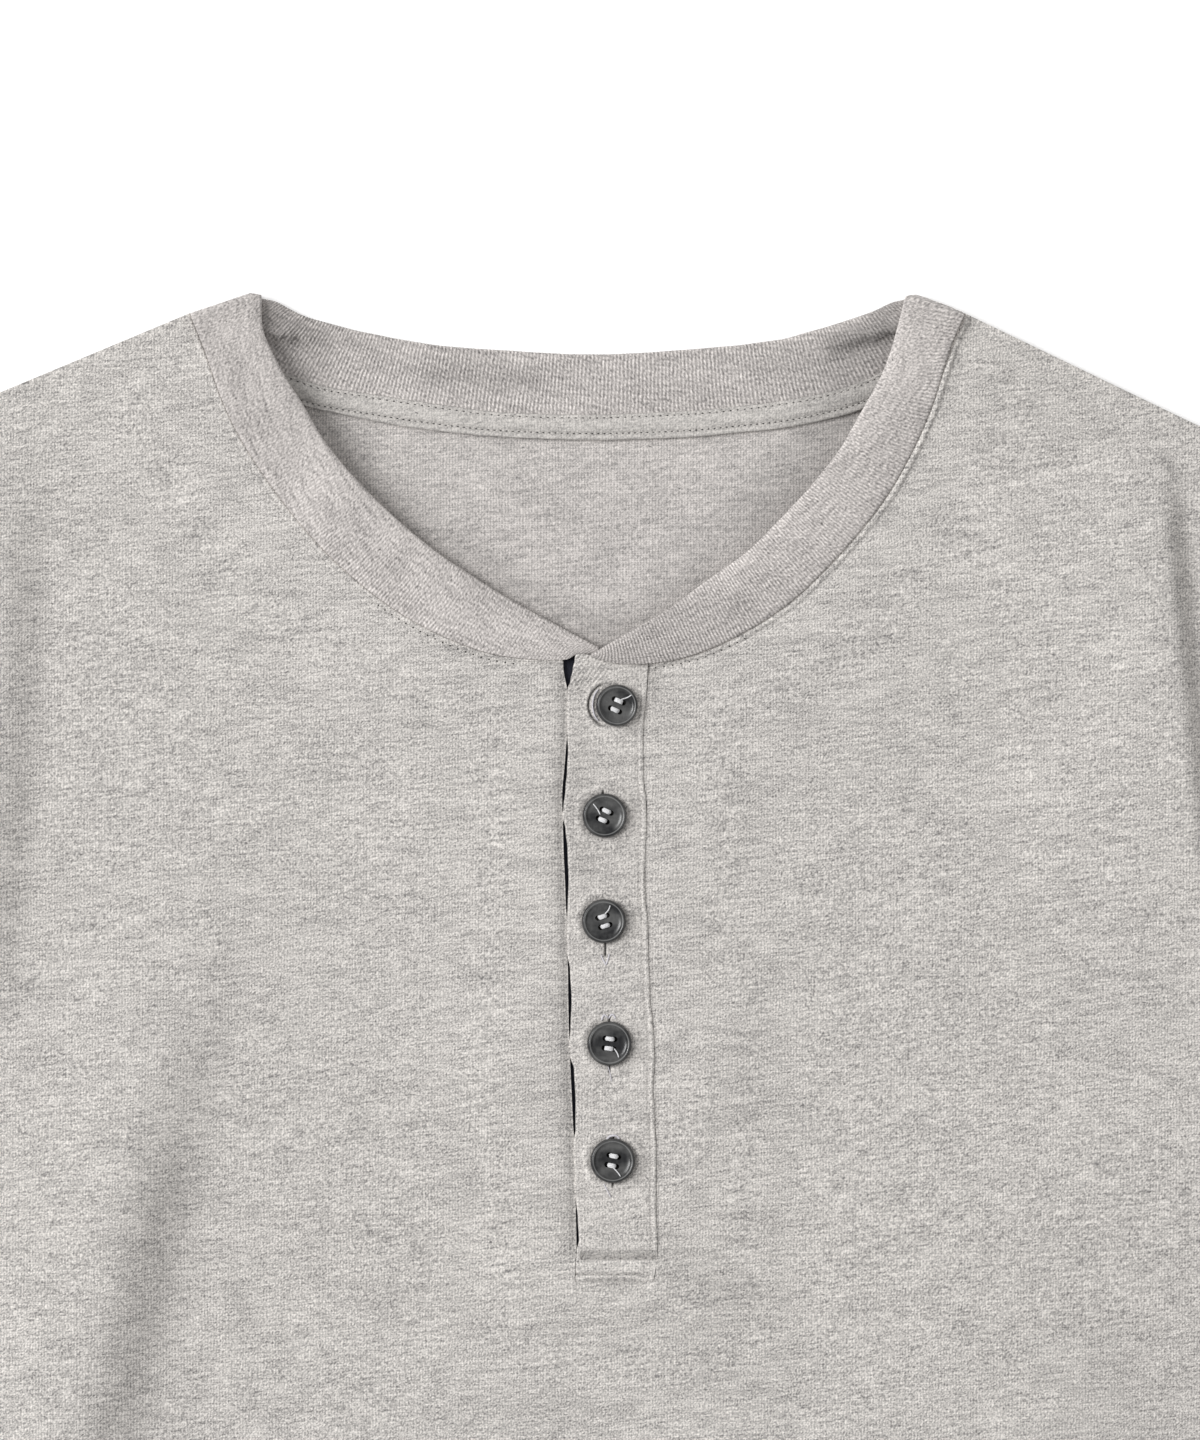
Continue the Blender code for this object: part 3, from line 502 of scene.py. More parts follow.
# Neckband. Its rows are seam x, seam drop, free edge x, free edge drop, and mid heights of both
neckband = {
    "thickness": 2.0, "flatWidth": 17.5, "turnRadius": 1.4, "ribDepth": 0.12, "ringsPerRib": 5,
    "wearersRight": (
        (-101.6, 16.5, -85.9, 10.8, 3.9, 5.6), (-97.2, 28.9, -81.3, 20.8, 4.0, 7.4),
        (-91.9, 40.0, -75.2, 30.8, 4.0, 8.6), (-84.6, 51.3, -69.4, 40.5, 4.0, 8.4),
        (-77.2, 61.2, -62.6, 49.0, 4.0, 7.8), (-67.0, 72.5, -53.5, 58.3, 4.0, 6.7),
        (-53.8, 83.7, -42.4, 68.0, 4.0, 5.4), (-41.0, 91.5, -31.6, 75.6, 4.0, 4.7),
        (-27.5, 97.1, -21.3, 82.1, 4.0, 4.2), (-16.7, 99.2, -13.2, 86.7, 4.0, 4.1),
        (-5.1, 99.6, -3.0, 92.2, 4.0, 4.0), (-1.4, 98.2, 1.2, 94.4, 4.0, 4.0),
        (4.3, 98.0, 4.6, 96.2, 4.0, 4.0),
    ),
    "wearersLeft": (
        (100.1, 13.6, 85.6, 7.8, 3.9, 4.1), (97.5, 21.3, 83.7, 14.9, 4.0, 4.6),
        (94.2, 31.6, 80.5, 23.2, 4.0, 5.0), (89.6, 42.1, 75.9, 31.6, 4.0, 5.4),
        (83.2, 53.7, 69.9, 42.0, 4.0, 5.6), (75.6, 64.0, 62.9, 51.3, 4.0, 5.6),
        (66.7, 74.0, 53.7, 61.3, 4.0, 5.4), (55.4, 84.6, 43.7, 71.0, 4.0, 5.2),
        (42.3, 92.9, 32.9, 78.7, 4.1, 5.2), (29.7, 98.3, 22.4, 86.5, 4.4, 5.3),
        (19.7, 100.4, 14.6, 91.0, 4.9, 5.6), (10.3, 100.6, 7.8, 94.9, 5.8, 6.1),
        (2.6, 98.9, 2.4, 98.1, 6.4, 6.4),
    ),
    # the back's seam and free edge: x and drop
    "backSeam": (
        (-105.0, 8.2), (-98.0, 12.6), (-90.0, 17.6), (-80.0, 22.6), (-70.2, 26.0), (-60.0, 27.8),
        (-50.8, 29.2), (-35.4, 31.5), (-22.1, 33.1), (1.9, 33.75), (26.5, 32.9), (42.9, 31.5), (58.9, 29.3),
        (70.2, 26.7), (78.6, 23.5), (90.0, 17.2), (97.0, 12.2), (102.5, 8.1),
    ),
    "backFree": (
        (-86.4, 1.9), (-84.2, 2.2), (-81.5, 3.4), (-76.1, 6.2), (-70.7, 8.0), (-62.6, 10.1), (-54.5, 11.9),
        (-41.0, 14.3), (-28.9, 15.4), (1.9, 17.0), (30.0, 15.6), (53.5, 13.0), (61.6, 10.8), (69.7, 8.4),
        (77.8, 5.7), (83.2, 3.2), (85.6, 2.2), (87.4, 2.1),
    ),
    "peakRound": 2.4,        # how far the turn's outermost line stops short of the free edge
    # how strongly the ribs show: drop, beside the seam, beside the free edge
    "ribShow": {
        "right": ((0, 0.30, 0.15), (40, 0.32, 0.14), (62, 0.60, 0.18), (80, 1.10, 0.36), (93, 1.10, 0.45),
                  (98, 0.70, 0.60), (102, 1.0, 1.0)),
        "left": ((0, 0.95, 0.12), (30, 1.00, 0.15), (50, 0.95, 0.55), (70, 0.92, 0.82), (90, 1.10, 0.98),
                 (102, 1.35, 1.25)),
    },
    # the ribs' pitch and lean: drop (x on the back), mm, degrees
    "ribRun": {
        "right": ((0, 0.95, 0), (30, 0.82, 4), (62, 0.81, 6), (69, 0.86, 7), (76, 0.84, 5), (84, 0.87, 8),
                  (92, 0.89, 12)),
        "left": ((0, 1.0, -4), (10, 0.95, -11), (18, 0.89, -19), (28, 0.91, -17), (38, 0.91, -15),
                 (48, 0.92, -12), (59, 0.91, -7), (69, 0.89, 2), (92, 0.88, 5)),
        "back": ((-95, 0.95, 0), (-60, 1.0, -4), (-36, 1.01, -5), (-17, 1.03, -7), (0, 1.05, -3),
                 (18, 1.06, -1), (37, 1.05, 1), (70, 1.02, 0), (95, 1.0, -4)),
    },
    # creases of the back part beside the shoulders: x and drop of both ends, height of the step and its reach
    "creases": ((88.0, 10.0, 66.0, 15.6, 1.9, 6.5), (-88.0, 11.5, -69.0, 13.5, 1.4, 6.0)),
    # and ridges beside them: x and drop of both ends, height, reach
    "ridges": ((-81.2, 13.0, -75.0, 5.5, 0.7, 1.8), (86.0, 8.6, 78.0, 11.0, 0.35, 1.2)),
}
# the placket's left side: drop, edge of the wearer's right front, and left edge of the top strip. Where the
# strip's edge is right of the front's, the dark strip under them shows.
stripLeft = (
    (97.0, -5.1, -1.4), (99.5, -5.13, -1.97), (102.3, -5.0, -2.54), (105.0, -4.51, -3.13),
    (107.9, -3.98, -4.05), (113.5, -3.97, -4.15), (119.1, -3.97, -4.1), (123.9, -4.37, -3.78),
    (129.3, -4.78, -4.05), (134.7, -5.32, -4.51), (139.6, -5.32, -5.05), (141.4, -5.24, -5.4),
    (145.5, -5.1, -4.46), (150.9, -4.97, -3.92), (159.0, -4.59, -3.65), (167.1, -4.27, -3.92),
    (170.0, -4.05, -4.2), (178.5, -4.0, -4.15), (183.3, -3.78, -3.24), (191.4, -3.7, -2.84),
    (199.5, -3.51, -3.16), (202.5, -3.35, -3.5), (206.0, -3.25, -3.4), (210.3, -3.08, -2.16),
    (218.4, -2.7, -1.78), (226.5, -2.3, -1.81), (229.5, -2.15, -2.3), (243.5, -1.76, -1.9),
    (250.8, -1.62, -1.13), (256.2, -1.49, -0.86), (259.4, -1.5, -1.6), (262.0, -1.8, -1.95),
    (267.3, -1.95, -2.1),
)
# the seam on the placket's right side: drop and x
stripRight = (
    (97.0, 18.0), (101.3, 17.8), (106.4, 17.6), (110.4, 17.3), (115.8, 16.7), (121.2, 16.5), (126.6, 16.6),
    (132.0, 16.7), (137.4, 17.3), (142.8, 17.5), (150.9, 17.15), (156.3, 17.0), (164.4, 17.15), (169.8, 17.8),
    (180.6, 18.0), (186.0, 18.3), (191.4, 18.45), (196.8, 19.1), (202.2, 19.5), (207.6, 19.65),
    (213.0, 19.36), (215.7, 19.2), (221.1, 19.6), (226.5, 19.8), (231.9, 20.2), (242.7, 20.1), (248.1, 20.06),
    (256.2, 20.4), (262.0, 20.3), (267.3, 19.4),
)


def heightAt(rows, x):
    # drop of a table's smooth curve at x
    for k in range(len(rows) - 1):
        if x <= rows[k + 1][0] or k == len(rows) - 2:
            before, start, end = rows[max(k - 1, 0)], rows[k], rows[k + 1]
            after = rows[min(k + 2, len(rows) - 1)]
            span = end[0] - start[0]
            t = min(max((x - start[0]) / span, 0.0), 1.0)
            into = (end[1] - before[1]) / (end[0] - before[0]) * span
            away = (after[1] - start[1]) / (after[0] - start[0]) * span
            return (start[1] * (1 + 2 * t) * (1 - t) ** 2 + end[1] * t * t * (3 - 2 * t)
                    + into * t * (1 - t) ** 2 - away * t * t * (1 - t))


def backPoint(edge, share):
    # shares run from -1 at the wearer's right shoulder to 1 at the left one
    end = -1 if share > 0 else 0
    full = abs(neckband["backSeam"][end][0])
    x = share * full
    if edge == "backFree":
        x -= math.copysign((full - abs(neckband[edge][end][0])) * abs(share) ** 2.6, share)
    return Vector((x, heightAt(neckband[edge], x)))


def turnCorner(side):
    # seam and free end of the band's turn over the shoulder, moved in from the outline to its axis
    seam, free = Vector(sides[side]["neckSeam"]), Vector(sides[side]["neckFree"])
    across = (free - seam).normalized()
    inward = Vector((-across[1], across[0]))
    if inward[1] < 0:
        inward = -inward
    depth = neckband["turnRadius"] + neckband["thickness"] / 2
    return seam + inward * depth, free + inward * depth, -inward


def ribShow(side, drop):
    rows = neckband["ribShow"][side]
    for (d0, seam0, free0), (d1, seam1, free1) in zip(rows, rows[1:]):
        if drop <= d1:
            t = min(max((drop - d0) / (d1 - d0), 0.0), 1.0)
            return seam0 + (seam1 - seam0) * t, free0 + (free1 - free0) * t
    return rows[-1][1:]


def ribRun(rows, step, width):
    # ribs passed up to each row along the band's seam, and how many more at its free edge
    passed, leaning, total = [], [], 0.0
    for row in rows:
        back = row[11] < 0
        table = neckband["ribRun"]["back" if back else "left" if row[0] > 0 else "right"]
        pitch, lean = [between(table, row[0] if back else row[1], column) for column in (1, 2)]
        passed.append(total)
        leaning.append(width * math.sin(math.radians(lean)) / pitch)
        total += step * math.cos(math.radians(lean)) / pitch
    return passed, leaning


def bandRow(seam, free, out, shows=(1.0, 0.9)):
    # middle, seam, free edge and outer side of the band at one place, and how its ribs show, as one row
    return (*((seam + free) / 2), *seam, *free, *out, *shows)


def frontBandRows(side, table):
    seam, free, _ = turnCorner(side)
    top = 1 + 2 * neckband["turnRadius"]
    rows = [(*seam, *free, top, top)] + list(table)
    return [bandRow(Vector((x0, d0, z0)), Vector((x1, d1, z1)), Vector((0, 0, 1)), ribShow(side, d0))
            for x0, d0, x1, d1, z0, z1 in rows]


def turnRows(side):
    seam, free, outward = turnCorner(side)
    outward = Vector((*outward, 0))
    centre = neckband["thickness"] / 2 + neckband["turnRadius"]
    rows = []
    for angle in (30, 60, 90, 120, 150, 180):
        out = outward * math.sin(math.radians(angle)) + Vector((0, 0, math.cos(math.radians(angle))))
        push = out * neckband["turnRadius"]
        tip = free + (seam - free).normalized() * neckband["peakRound"] * math.sin(math.radians(angle)) ** 4
        t = angle / 180
        shows = [start + (end - start) * t for start, end in zip(ribShow(side, 0), (1.0, 0.9))]
        rows.append(bandRow(Vector((*seam, centre)) + push, Vector((*tip, centre)) + push, out, shows))
    return rows


def backBandRows():
    rows = []
    for k in range(-15, 16):
        share = k / 16
        # near each shoulder the band rises from the back towards its turn
        rise = ease((abs(share) - 0.78) / 0.22)
        seam, free = backPoint("backSeam", share), backPoint("backFree", share)
        rows.append(bandRow(Vector((*seam, 1.0 + 0.2 * rise)), Vector((*free, 1.0 + 0.7 * rise)),
                            Vector((0, 0, -1))))
    return rows


def backCrease(x, drop):
    # each crease is a step: cloth above it stands proud, cloth below it sinks and comes back slowly
    total = 0.0
    for x0, drop0, x1, drop1, height, reach in neckband["creases"]:
        t = (x - x0) / (x1 - x0)
        if -0.2 < t < 1:
            below = drop - (drop0 + (drop1 - drop0) * t)
            step = 1 - ease(-below / 5.5)
            if below >= 0:
                step = 1 - ease(below / 0.45) - 0.45 * fade(below, reach) * ease(below / 0.3)
            total += ease((1 - t) / 0.55) * height * step
    for x0, drop0, x1, drop1, height, reach in neckband["ridges"]:
        along, across = Vector((x1 - x0, drop1 - drop0)), Vector((x - x0, drop - drop0))
        t = across.dot(along) / along.length_squared
        if -0.2 < t < 1.2:
            away = abs(across.cross(along)) / along.length
            total += height * bell(away, reach) * ease((t + 0.2) / 0.4) * ease((1.2 - t) / 0.4)
    return total


# soft painted shade inside the neck, and painted light where a share or strength is negative. Beside each half
# of the band:
# drop, strength, reach, the share of it right at the edge, and where it is full; and along its creases: x and
# drop of both ends, reach and strength
neckShade = {
    "right": ((5, 0.30, 16, 0.1, 5), (14, 0.40, 14, 0.15, 5), (22, 0.27, 18, 0.1, 5), (45, 0.20, 18, -0.4, 5),
              (70, 0.20, 13, -0.6, 2.8), (90, 0.20, 13, -0.5, 2.8)),
    "left": ((5, 0.34, 16, 0.6, 5), (20, 0.28, 24, 0.6, 5), (40, 0.33, 24, 0.6, 5), (60, 0.29, 23, 0.6, 5),
             (75, 0.20, 17, 0.6, 5), (95, 0.12, 14, 0.6, 5)),
    "creases": ((85, 10.2, 69, 15, 3.6, 0.38), (66, 17, 56, 18, 6.0, 0.12), (-85, 8.5, -70, 13, 4.0, 0.27),
                (-40, 22.5, -14, 24.5, 3.5, 0.12), (-20, 28, -5, 31.5, 3.0, -0.10),
                (-60, 14, -50, 16, 4.0, 0.06)),
}
freeEdges = {side: smoothCurve([sides[side]["neckFree"]] + [row[2:4] for row in neckband[table]], 90)
             for side, table in (("right", "wearersRight"), ("left", "wearersLeft"))}


def creaseLight(rows, x, drop):
    # what soft painted shades along short lines leave of the light; a negative strength paints light
    light = 1.0
    for x0, drop0, x1, drop1, reach, strength in rows:
        along, across = Vector((x1 - x0, drop1 - drop0)), Vector((x - x0, drop - drop0))
        across -= along * min(max(across.dot(along) / along.length_squared, 0.0), 1.0)
        light *= 1 - strength * bell(across.length, reach)
    return light


def neckShadeAt(x, drop):
    if abs(x) > 100 or not -5 < drop < 120:
        return 0.0
    light = creaseLight(neckShade["creases"], x, drop)
    for side, edge in freeEdges.items():
        away, beside = min((math.hypot(x - point[0], drop - point[1]), point[1]) for point in edge)
        strength, reach, near, full = [between(neckShade[side], beside, column) for column in (1, 2, 3, 4)]
        light *= 1 - strength * (near + (1 - near) * ease(away / full)) * fade(away, reach)
    return 1 - light


def bandShade(x, drop, facing, share):
    # painted shade on the band, and painted light where it is negative: share is 0 at its seam and 1 at its
    # free edge
    if facing < -0.5:
        return neckShadeAt(x, drop)
    if facing <= 0.5:
        return 0.0
    if x < 0:
        shade = 0.11 * fade(drop - 34, 18) * (0.6 + 0.4 * ease((drop - 8) / 14))
        return shade - 0.035 * ease((drop - 54) / 8) - 0.045 * ease((drop - 84) / 8)
    shade = 0.07 * ease((drop - 82) / 8) * (1 - ease(share))
    return shade - (0.03 + 0.09 * ease(share)) * ease((drop - 4) / 10) * fade(drop - 78, 8)


def buildNeckband():
    rows = frontBandRows("right", neckband["wearersRight"])[::-1] + turnRows("right") + backBandRows()
    rows += turnRows("left")[::-1] + frontBandRows("left", neckband["wearersLeft"])
    length = curveLength([row[:3] for row in rows])
    count = int(length / ribKnit["pitch"] * neckband["ringsPerRib"])
    fine = smoothCurve(rows, count + 1, 3)
    radius, flatWidth = neckband["thickness"] / 2, neckband["flatWidth"]
    # the section, as shares across: its top, its bend round the free edge in degrees, and its underside
    topShares = (0.0, 0.03, 0.08, 0.18, 0.3, 0.42, 0.54, 0.66, 0.78, 0.88)
    bends = (20, 45, 70, 90, 110, 135, 160)
    lowShares = (0.95, 0.90, 0.84, 0.77, 0.70, 0.63, 0.56, 0.49, 0.42, 0.35, 0.28, 0.21, 0.14, 0.08, 0.03, 0.0)
    shares = topShares + (1.0,) * len(bends) + lowShares
    around, lowStart = len(shares), len(topShares) + len(bends)
    acrossMm = [flatWidth * share for share in topShares]
    acrossMm += [flatWidth + radius * math.radians(bend) for bend in bends]
    acrossMm += [flatWidth * (2 - share) + radius * math.pi for share in lowShares]
    acrossMm.append(2 * flatWidth + radius * 5)
    passed, leaning = ribRun(fine, length / count, flatWidth)

    def place(i, j):
        j %= around
        row = fine[i]
        seam, free, out = Vector(row[3:6]), Vector(row[6:9]), Vector(row[9:12])
        along = (free - seam).normalized()
        out = (out - along * out.dot(along)).normalized()
        width, u, share = (free - seam).length, length * i / count, shares[j]
        body = max(width - radius, width * 0.5)
        unevenReliefAndShade = 0.75 + 0.35 * noise.noise(Vector((u / 30, 0.3, 0)))
        unevenReliefAndShade *= row[12] + (row[13] - row[12]) * (share if j < lowStart else 1.0)
        rib = neckband["ribDepth"] * math.cos(math.tau * (passed[i] + leaning[i] * share)) * -unevenReliefAndShade
        slack = 0.20 * noise.noise(Vector((u / 19, 5.0, 0))) + 0.04 * noise.noise(Vector((u / 6, 9.0, 0)))
        slack *= math.sin(math.pi * share)
        lift = radius + rib * ease(share / 0.1)
        if j < len(topShares):
            lift += slack - 0.26 * (1 - ease(share * width / 0.8))
            point = seam + along * (body * share) + out * lift
        elif j < lowStart:
            bend = math.radians(bends[j - len(topShares)])
            reach = body + math.sin(bend) * min(lift, width - body)
            point = seam + along * reach + out * math.cos(bend) * lift
        else:
            point = seam + along * (body * share) - out * (lift + 0.35 * slack)
        point += along * (0.12 * noise.noise(Vector((u / 9, 2.0, 0))) * ease((j - 4) / 8))
        # the back's face, which looks up, is this section's underside
        if out[2] < -0.9:
            if point[2] > 1.0:
                point[2] += backCrease(point[0], point[1])
            point[2] = max(point[2], 0.05)
        return onShirt(*point)

    shape = gridShape(count, around, place)
    shown, phase, shade = [shape.verts.layers.float.new(name) for name in ("ribShow", "ribPlace", "shade")]
    for corner in shape.verts:
        i = corner.index % (count + 1)
        share = shares[(around - corner.index // (count + 1)) % around]
        row = fine[i]
        corner[shade] = bandShade(corner.co.x / mm, shirt["centreDrop"] - corner.co.y / mm, row[11], share)
        corner[shown] = row[12] + (row[13] - row[12]) * share
        corner[phase] = passed[i] + leaning[i] * share
    layer = shape.loops.layers.uv.new("cloth")
    for face in shape.faces:
        for loop in face.loops:
            row, column = divmod(loop.vert.index, count + 1)
            loop[layer].uv = (length * column / count * mm, acrossMm[around - row] * mm)
    seal(shape)
    return addPiece("neckband_rib", shape, ribFinish, ["neckband"])


neckbandPiece = buildNeckband()
print("neckband made:", len(neckbandPiece.data.polygons), "faces")

# Front. Each fold is start, bend and end (x, drop), height, and reach towards -X and +X.
frontCloth = {
    "neckRows": 64, "placketRows": 72, "lowerRows": 88,
    "edgeSteps": (0, 0.07, 0.22, 0.45, 0.75, 1.05, 1.3, 1.5, 1.7, 1.95, 2.3, 2.8, 3.6, 4.8, 6.5, 9, 12, 16,
                  20.5, 25, 30),
    "innerColumns": 26,
    "foldSteps": tuple(-28 + 2 * k for k in range(26)),
    "outerColumns": 8,
    "outerSteps": (6, 4, 2.6, 1.6, 0.9, 0.4, 0),
    # gap beside the neckband at the shoulder and at the placket, and the drops between which it changes
    "seamGap": {"left": (-0.25, -0.12, 40, 60), "right": (-0.04, -0.08, 82, 94)},
    # the seams of its edges: depth and reach of the dip, height and reach of the rise behind it, and depth,
    # place and reach of the dip along the stitches
    "seams": {
        "left": {"neck": (0.12, 0.5, 0.44, 2.4, 0.26, 2.3, 0.45),
                 "placket": (0.34, 2.2, 0.0, 1.0, 0.0, 1.0, 1.0)},
        "right": {"neck": (0.26, 0.5, 0.16, 1.7, 0.16, 1.75, 0.4),
                  "placket": (0.45, 1.5, 0.0, 1.0, 0.10, 1.3, 0.5)},
    },
    # painted shade beside a seam, and painted light where it is negative: distance from it, beside the wearer's
    # left neckline above and below the chest's fold, beside the wearer's right one, beside the strip's left
    # edge and beside its right edge
    "seamShade": (
        (0.0, -0.07, -0.20, 0.14, -0.06, 0.27), (0.5, -0.18, -0.24, 0.03, 0.02, 0.18),
        (0.9, -0.11, -0.08, -0.03, 0.16, 0.09), (1.3, -0.12, -0.08, 0.03, 0.24, 0.05),
        (1.7, -0.04, -0.02, 0.11, 0.20, 0.03), (2.1, 0.14, 0.12, 0.08, 0.17, 0.01),
        (2.5, 0.22, 0.08, 0.03, 0.15, 0.0), (3.0, 0.15, -0.04, 0.0, 0.12, 0.0),
        (4.0, 0.05, -0.05, 0.0, 0.07, 0.0), (5.5, 0.0, 0.0, 0.0, 0.0, 0.0),
    ),
    "folds": (
        (154.6, 34, 159.6, 98, 173, 205, 4.8, 60, 6.5), (187, 56, 182, 122, 200, 226, 3.5, 13, 22),
        (-160, 36, -154, 108, -168, 214, 4.0, 20, 15), (-103, 150, -124.5, 243, -152, 384, 3.0, 60, 22),
        (-117, 205, -128, 262, -150, 384, 4.2, 55, 22), (128, 300, 148, 400, 214, 548, 4.0, 26, 26),
        (266, 300, 236, 338, 190, 372, 4.5, 15, 15), (-266, 296, -240, 330, -206, 356, 4.5, 15, 15),
        (-62, 420, -92, 528, -78, 676, 3.5, 26, 26), (54, 480, 76, 572, 118, 694, 3.5, 26, 26),
        (48, 178, 36, 212, 27, 250, 0.5, 12, 12), (20, 268, 40, 274, 62, 290, 0.4, 9, 9),
        (118, 286, 134, 288, 152, 300, 0.5, 10, 10), (-30, 300, -60, 340, -70, 400, 0.7, 16, 16),
        (90, 330, 96, 380, 84, 440, 0.7, 16, 16), (-150, 420, -170, 500, -160, 600, 0.9, 18, 18),
        (170, 440, 186, 520, 180, 610, 0.9, 18, 18), (8, 560, 0, 620, 14, 690, 0.7, 16, 16),
    ),
    # soft painted shades in the folds, and painted light where the strength is negative: x and drop of both
    # ends, reach and strength
    "shades": ((-110, 250, -122, 305, 10, 0.07), (24, 261, 44, 273, 6, 0.10), (150, 276, 150, 310, 24, 0.07),
               (31, 112, 32, 150, 7, -0.06), (-150, 180, -152, 260, 9, 0.035), (-104, 287, -106, 308, 7, 0.04),
               (-99, 182, -98, 246, 6, 0.035)),
}
frontFolds = foldCrests(frontCloth["folds"])


def armholeCurve(side):
    top, chest = sides[side]["shoulderDrop"], shirt["chestHalf"]
    rows = ((shirt["shoulderHalf"], top), (shirt["shoulderHalf"] - 13, top + 45),
            (shirt["acrossHalf"], top + 104), (shirt["acrossHalf"] + 7, top + 158),
            (chest - 33, shirt["underarmDrop"] - 28), (chest, shirt["underarmDrop"]))
    return [(sides[side]["sign"] * x, drop) for x, drop in rows]


def outerEdge(side):
    # armhole and side seam in one line, from the shoulder tip to the hem
    sign = sides[side]["sign"]
    seam = [(sign * x, drop) for x, drop in ((shirt["chestHalf"], shirt["underarmDrop"]),
                                             (shirt["waistHalf"], shirt["waistDrop"]),
                                             (shirt["hemHalf"], shirt["length"]))]
    return smoothCurve(armholeCurve(side), 60) + smoothCurve(seam, 60)[1:]


def neckEdge(side, count):
    # the front neckline, from the shoulder to the placket
    if side == "left":
        rows = [row[:2] for row in neckband["wearersLeft"] if row[0] > 25] + [(18.1, 100.4)]
    else:
        rows = [row[:2] for row in neckband["wearersRight"] if row[0] < -5]
    sign = sides[side]["sign"]
    line = smoothCurve([sides[side]["neckSeam"]] + rows, count)
    first, last, start, end = frontCloth["seamGap"][side]
    curve = []
    for near, far in zip(shiftCurve(line, first * sign), shiftCurve(line, last * sign)):
        curve.append(near.lerp(far, ease((near[1] - start) / (end - start))))
    curve[0] = Vector(sides[side]["neckSeam"]) + Vector((sign * first, 0))
    return curve


def rowEnds(side):
    inner = neckEdge(side, frontCloth["neckRows"])
    rows = stripRight if side == "left" else stripLeft
    edge = smoothCurve([(row[1], row[0]) for row in rows if row[0] > 101], frontCloth["placketRows"])
    if side == "left":
        # the strip's seam opens a little here and there
        for point in edge:
            point[0] += (0.05 + 0.08 * ripple(0, point[1], 9, 21.0)) * fade(point[1] - shirt["placketEnd"], 4)
    edge[-1][1] += 0.02
    inner += edge
    last = inner[-1]
    for i in range(1, frontCloth["lowerRows"] + 1):
        inner.append(Vector((last[0], last[1] + (shirt["length"] - last[1]) * i / frontCloth["lowerRows"])))
    outline = outerEdge(side)
    neckRows, placketEnd = frontCloth["neckRows"], frontCloth["neckRows"] + frontCloth["placketRows"]
    shares = ((0, 0.0), (neckRows, 0.23), (placketEnd, 0.43), (len(inner) - 1, 1.0))
    outer = []
    for i in range(len(inner)):
        for (i0, s0), (i1, s1) in zip(shares, shares[1:]):
            if i <= i1:
                share = s0 + (s1 - s0) * (i - i0) / (i1 - i0)
                break
        outer.append(pointAlong(outline, share))
    # a row close to the shoulder keeps its edge crisp
    for row in (inner, outer):
        row.insert(1, row[0].lerp(row[1], 0.06))
    return inner, outer


def frontTop(x, drop, fromTrim, fromShoulder, fromOutside):
    lift = shirt["trimLift"] * fade(fromTrim, shirt["trimReach"]) * ease(fromShoulder / 22)
    lift *= 1 - ease((drop - 271) / 40)
    settled = ease(fromOutside / 20)
    height = shirt["frontFloor"] + shirt["cloth"] + lift
    height += foldHeight(x, drop, frontFolds) * settled * ease(fromShoulder / 18)
    height += (0.30 * ripple(x, drop, 55) + 0.10 * ripple(x, drop, 17, 4.0)) * settled * ease(fromTrim / 12)
    return height - 0.45 * fade(fromOutside, 1.6)


def trimEdge(side, distance, drop):
    # how the front's edge dips into its seam, rises behind it and dips again at the stitches
    beside = "placket" if drop > shirt["placketDrop"] else "neck"
    dip, dipReach, lip, lipReach, sewn, sewnAt, sewnReach = frontCloth["seams"][side][beside]
    if side == "left" and beside == "placket":
        dip *= 0.8 + 0.4 * ripple(0, drop, 12, 6.0)
    elif side == "left":
        lip *= 1 - 0.55 * ease((drop - 50) / 14)
    elif beside == "neck":
        sewn *= 0.35 + 0.65 * ease((drop - 74) / 8)
    rise = lip * math.sin(math.pi * min(distance / lipReach, 1.0))
    return rise - dip * fade(distance, dipReach) - sewn * bell(distance - sewnAt, sewnReach)


def trimShade(side, distance, drop):
    # painted shade beside the front's seams, and painted light where the table is negative
    rows = frontCloth["seamShade"]
    if distance > rows[-1][0]:
        return 0.0
    if drop > shirt["placketDrop"]:
        shade = between(rows, distance, 4 if side == "right" else 5)
        if side == "left":
            shade *= 0.4 + 0.6 * ease((drop - 102) / 12)
            # a soft painted shade beside the strip's top
            shade += 0.17 * fade(drop - 105, 9) * fade(distance - 2.5, 3)
        return shade * (1 - 0.9 * ease((drop - shirt["placketEnd"]) / 5))
    if side == "left":
        low = ease((drop - 54) / 12)
        return between(rows, distance, 1) * (1 - low) + between(rows, distance, 2) * low
    return between(rows, distance, 3) * (0.4 + 0.6 * ease((drop - 74) / 8))


